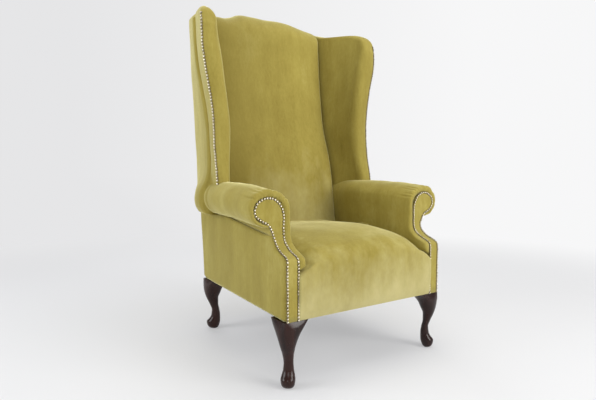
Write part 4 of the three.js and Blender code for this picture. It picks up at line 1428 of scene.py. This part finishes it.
for name, side in sides.items():
    rings = mirrorRings(wingRings(wing["seeds"][name], side), side)
    pad = finishMesh("wingPad_" + name, ringMesh(rings), velvet)
    shown(pad, "velvet", "inside_wing_cover_" + name, "wing_foam_" + name, "outside_wing_" + name)
    points, normals = wingNailPath(side)
    look = wing["nails"]
    node = "wing_nail_strip_" + name
    nailRow("wingNails_" + name, points, normals, node, look["seed"] + side, look)
print("wings made")

# Legs
leg = {
    "block": 80,
    "top": 209.7,
    "sides": 32,
    "rows": 60,
    # height, back, out, across, round
    "table": [
        (0, -0.2, 0.42, 0.15, 2), (0.02, -0.13, 0.52, 0.225, 2), (0.06, -0.08, 0.59, 0.27, 2),
        (0.125, -0.03, 0.62, 0.288, 2), (0.19, -0.02, 0.5, 0.255, 2),
        (0.26, -0.02, 0.41, 0.212, 2), (0.372, -0.06, 0.38, 0.195, 2),
        (0.486, -0.12, 0.47, 0.225, 2), (0.6, -0.12, 0.6, 0.29, 2), (0.72, 0, 0.7, 0.385, 1.85),
        (0.82, 0.12, 0.75, 0.49, 1.6), (0.9, 0.3, 0.77, 0.6, 1.3), (1, 0.68, 0.76, 0.735, 1.04),
    ],
    # corner, which way it points along the chair, how much further out it reaches
    "places": {
        "front": (wallX(-base["front"]) + 1, -base["front"] + 5, -1, 1),
        "rear": (wallX(base["rear"]) - 2, base["rear"] - 24, 1, 1.2),
    },
}


def legRings(end):
    diagonal = math.sqrt(0.5)
    cornerX, cornerY, turn, further = leg["places"][end]
    centreX, centreY = cornerX - leg["block"] / 2, cornerY - turn * leg["block"] / 2
    rings = []
    for row in range(leg["rows"] + 1):
        height = row / leg["rows"]
        behind, out, across, power = [readTable(leg["table"], height, i) for i in (1, 2, 3, 4)]
        ring = []
        for side in range(leg["sides"]):
            angle = math.tau * side / leg["sides"]
            cosine, sine = math.cos(angle), math.sin(angle)
            spread = math.copysign(abs(cosine) ** (2 / power), cosine)
            along = leg["block"] * mix(-behind, out * further, (spread + 1) / 2) * diagonal
            flank = math.copysign(abs(sine) ** (2 / power), sine)
            beside = leg["block"] * across * flank * diagonal
            x, y = centreX + along - beside, centreY + turn * (along + beside)
            ring.append((x, y, leg["top"] * height))
        rings.append(ring)
    return rings


for end in leg["places"]:
    for name, side in sides.items():
        rings = mirrorRings(legRings(end), side)
        piece = finishMesh(f"leg_{end}_{name}", ringMesh(rings), mahogany, sharpAngle=50)
        shown(piece, "mahogany", f"cabriole_leg_{end}_{name}")
print("legs made")


# The arm posts, wing posts and wing rails under the covers follow the shapes above
timber = {
    "thick": 28,
    "ease": 1.5,
    "sharp": 0.6,  # edges that turn more than this are eased
    "smooth": 40,
    "post": {"inset": 9, "behind": 6, "deep": 34, "low": 213, "skip": 6},
    "wingPost": {"foot": 571, "top": 1176, "rows": 14, "skin": 9, "front": 9, "deep": 34},
    "wingRail": {"low": 1176.3, "high": 1200, "rearGap": 55, "rearIn": 6},
}


def timberPiece(name, rings, node):
    mesh = ringMesh(rings)
    sharp = [edge for edge in mesh.edges if edge.calc_face_angle(0) > timber["sharp"]]
    bmesh.ops.bevel(
        mesh,
        geom=sharp,
        offset=timber["ease"] * millimetre,
        offset_type="OFFSET",
        segments=2,
        profile=0.5,
        affect="EDGES",
        material=-1,
        clamp_overlap=True,
    )
    shown(finishMesh(name, mesh, carried["beech"], sharpAngle=timber["smooth"]), "beech", node)


def armPostRings():
    look = timber["post"]
    run = boardRun(look["inset"], 2)
    rings = []
    for row in range(len(run) // 2 - look["skip"]):
        (ax, az), (bx, bz) = run[row], run[len(run) - 1 - row]
        az, bz = max(az, look["low"]), max(bz, look["low"])
        front = [(ax, armFront(az) + look["behind"], az), (bx, armFront(bz) + look["behind"], bz)]
        rear = [(x, y + look["deep"], z) for x, y, z in reversed(front)]
        rings.append(front + rear)
    return rings


def wingPostRing(z):
    look = timber["wingPost"]
    row = wingRow(z)
    lean = (row["edgeX"] - row["rearX"]) / (rearY(z) - row["edgeY"])
    front = row["edgeY"] + look["front"]
    outer = row["edgeX"] - look["skin"] - lean * look["front"]
    slant = lean * look["deep"]
    return [
        (outer - timber["thick"], front, z),
        (outer, front, z),
        (outer - slant, front + look["deep"], z),
        (outer - slant - timber["thick"], front + look["deep"], z),
    ]


def wingRailRings():
    look = timber["wingRail"]
    start = wingPostRing(timber["wingPost"]["top"])
    rearLine = rearY(look["low"]) - look["rearGap"]
    rearX = base["halfRear"] - look["rearIn"]
    outline = [start[0][:2], start[1][:2], (rearX, rearLine), (rearX - timber["thick"], rearLine)]
    return [[(x, y, z) for x, y in outline] for z in (look["low"], look["high"])]


for name, side in sides.items():
    timberPiece("armPost_" + name, mirrorRings(armPostRings(), side), "arm_post_" + name)
    look = timber["wingPost"]
    heights = [mix(look["foot"], look["top"], i / look["rows"]) for i in range(look["rows"] + 1)]
    postRings = mirrorRings([wingPostRing(z) for z in heights], side)
    timberPiece("wingPost_" + name, postRings, "wing_post_" + name)
    timberPiece("wingRail_" + name, mirrorRings(wingRailRings(), side), "wing_top_rail_" + name)
print("timbers made")


# Flat cloths of the underside and the springs
sheet = {
    "dust_cover": {"side": 3.6, "thick": 1.2, "sag": 3, "slot": "lining"},
    "spring_sheet": {"side": 82, "thick": 1.2, "sag": 0.8, "slot": "webbing"},
}
ripple = {"height": 0.6, "size": 60, "seed": 3, "columns": 24, "rows": 24}


def sheetHalf(node, y):
    return wallX(y / millimetre - yShift) - sheet[node]["side"]


def sheetRings(node, look):
    low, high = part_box(node)

    def spot(along, share):
        y = mix(low.y, high.y, along) / millimetre - yShift
        across = share * 2 - 1
        x = across * (wallX(y) - look["side"])
        held = 1 - across**2
        drop = look["sag"] * held * math.sin(math.pi * along)
        wave = ripple["height"] * unevenness(x, y, 0, ripple["size"], ripple["seed"]) * held
        return (x, y, high.z / millimetre - drop + wave)

    return gridRings(ripple["rows"], ripple["columns"], spot)


for node, look in sheet.items():
    shell = shellMesh(sheetRings(node, look), look["thick"], Vector((0, 0, 1)))
    cloth = finishMesh(node.replace("_", "") + "Cloth", shell, carried[look["slot"]])
    shown(cloth, look["slot"], node)
    low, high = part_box(node)
    frontHalf, rearHalf = sheetHalf(node, low.y), sheetHalf(node, high.y)
    size = (2 * frontHalf * millimetre, high.y - low.y)
print("cloths made")

# CAD nodes that stay as they are take a finish of their own
slots = {row["node"]: row["material_slot"] for row in frame["record"]["subparts"]}
for node, piece in frame["nodes"].items():
    if piece.hide_render:
        continue
    piece.data.materials.clear()
    piece.data.materials.append(carried[slots[node]])
print("frame dressed")

# Floor, light and camera
stageLook = {
    "dim": (0.79, 0.79, 0.8, 1),
    "bright": (0.93, 0.93, 0.935, 1),
    "fill": (0.95, 0.97, 1.0, 1),
    "floorRadius": 40.0,
    "fadeStart": 1.2,
    "fadeEnd": 3.4,
    "sweepNear": 3.5,
    "sweepAlong": (0.83, -0.557, 0),
    "sweepEnds": (-0.42, 0.34),
    "glowNear": 0.34,
    "floorSides": 96,
    "paint": {"Base Color": (0.78, 0.78, 0.79, 1), "Roughness": 0.7, "Specular IOR Level": 0.1},
    "fillStrength": 0.33,
    "skyNear": 0.01,
    "shownTo": ("Camera", "Transmission"),
    "aim": (0, 0, 0.6),
}


# Painted light on the backdrop: its colour is brighter towards one side of the studio, as the light
# falls there, at a place on the floor or, for the sky, in a direction
def paintedLightSweep(graph, point, near):
    flat = graph.vector("MULTIPLY", point, (1, 1, 0))
    length = graph.vector("LENGTH", flat, output=1)
    across = graph.vector("DOT_PRODUCT", flat, stageLook["sweepAlong"], output=1)
    share = graph.clamp(across / graph.maths("MAXIMUM", length, near), *stageLook["sweepEnds"])
    return graph.blend(share, stageLook["dim"], stageLook["bright"])


floorMesh = bmesh.new()
floorSize = {"segments": stageLook["floorSides"], "radius": stageLook["floorRadius"]}
bmesh.ops.create_circle(floorMesh, cap_ends=True, **floorSize)
floorMaterial, floorGraph = newMaterial("studioFloor")
floor = finishMesh("studioFloor", floorMesh, floorMaterial)
where = floorGraph.node("ShaderNodeTexCoord", output=3)
fading = {
    "Value": floorGraph.vector("LENGTH", where, output=1),
    "From Min": stageLook["fadeStart"],
    "From Max": stageLook["fadeEnd"],
}
away = floorGraph.node("ShaderNodeMapRange", {"interpolation_type": "SMOOTHSTEP"}, fading)
paint = floorGraph.node("ShaderNodeBsdfPrincipled", inputs=stageLook["paint"])
glowColour = paintedLightSweep(floorGraph, where, stageLook["sweepNear"])
glow = floorGraph.node("ShaderNodeEmission", inputs={"Color": glowColour, "Strength": 1.0})
# the floor glows with that painted light: wholly far from the chair and in part near it, which
# paints the chair's shadow lighter
share = away * (1 - stageLook["glowNear"]) + stageLook["glowNear"]
floorMix = floorGraph.node("ShaderNodeMixShader", inputs={0: share, 1: paint, 2: glow})
floorGraph.node("ShaderNodeOutputMaterial", inputs={"Surface": floorMix})

# The world shows the backdrop to the camera and gives everything else an even fill
world = bpy.data.worlds.new("studio")
bpy.context.scene.world = world
world.use_nodes = True
sky = Graph(world.node_tree)
seen = [sky.node("ShaderNodeLightPath", output=f"Is {ray} Ray") for ray in stageLook["shownTo"]]
direct = sky.maths("MAXIMUM", *seen)
# the sky seen by the camera carries the same painted light
skyColour = paintedLightSweep(sky, sky.node("ShaderNodeTexCoord"), stageLook["skyNear"])
whiteSky = sky.node("ShaderNodeBackground", inputs={"Color": skyColour, "Strength": 1.0})
fill = {"Color": stageLook["fill"], "Strength": stageLook["fillStrength"]}
fillSky = sky.node("ShaderNodeBackground", inputs=fill)
skyMix = sky.node("ShaderNodeMixShader", inputs={0: direct, 1: fillSky, 2: whiteSky})
sky.node("ShaderNodeOutputWorld", inputs={"Surface": skyMix})

# place, width and height, power, colour
softboxes = {
    "keyRight": ((1.5, -3.4, 1.5), (1.8, 1.8), 82, (1, 0.985, 0.96)),
    "keyLeft": ((-3.4, 0.9, 1.5), (1.8, 1.8), 60, (0.97, 0.985, 1)),
    "frontLeft": ((-2.2, -2.9, 1.9), (1.6, 1.6), 24, (1, 1, 1)),
    "top": ((0.3, -0.3, 3.3), (2.4, 2.4), 50, (1, 1, 1)),
    "rear": ((0.6, 3.4, 2.4), (2.2, 2.2), 34, (1, 1, 1)),
}
for name, (spot, size, power, colour) in softboxes.items():
    light = bpy.data.lights.new(name, "AREA")
    light.shape = "RECTANGLE"
    light.size, light.size_y = size
    light.energy = power
    light.color = colour
    lamp = bpy.data.objects.new(name, light)
    lamp.location = spot
    aim = Vector(stageLook["aim"]) - lamp.location
    lamp.rotation_euler = aim.to_track_quat("-Z", "Y").to_euler()
    bpy.context.scene.collection.objects.link(lamp)

view = {"at": (-1.083, -1.5973, 0.664), "yaw": 33.87, "pitch": 3.56, "lens": 28.99, "sensor": 36}
camera = bpy.data.cameras.new("camera")
camera.lens = view["lens"]
camera.sensor_width = view["sensor"]
viewer = bpy.data.objects.new("camera", camera)
viewer.location = view["at"]
viewer.rotation_euler = (math.radians(90 - view["pitch"]), 0, math.radians(-view["yaw"]))
bpy.context.scene.collection.objects.link(viewer)
bpy.context.scene.camera = viewer
bpy.context.scene.view_settings.view_transform = "Standard"

print("scene ready")
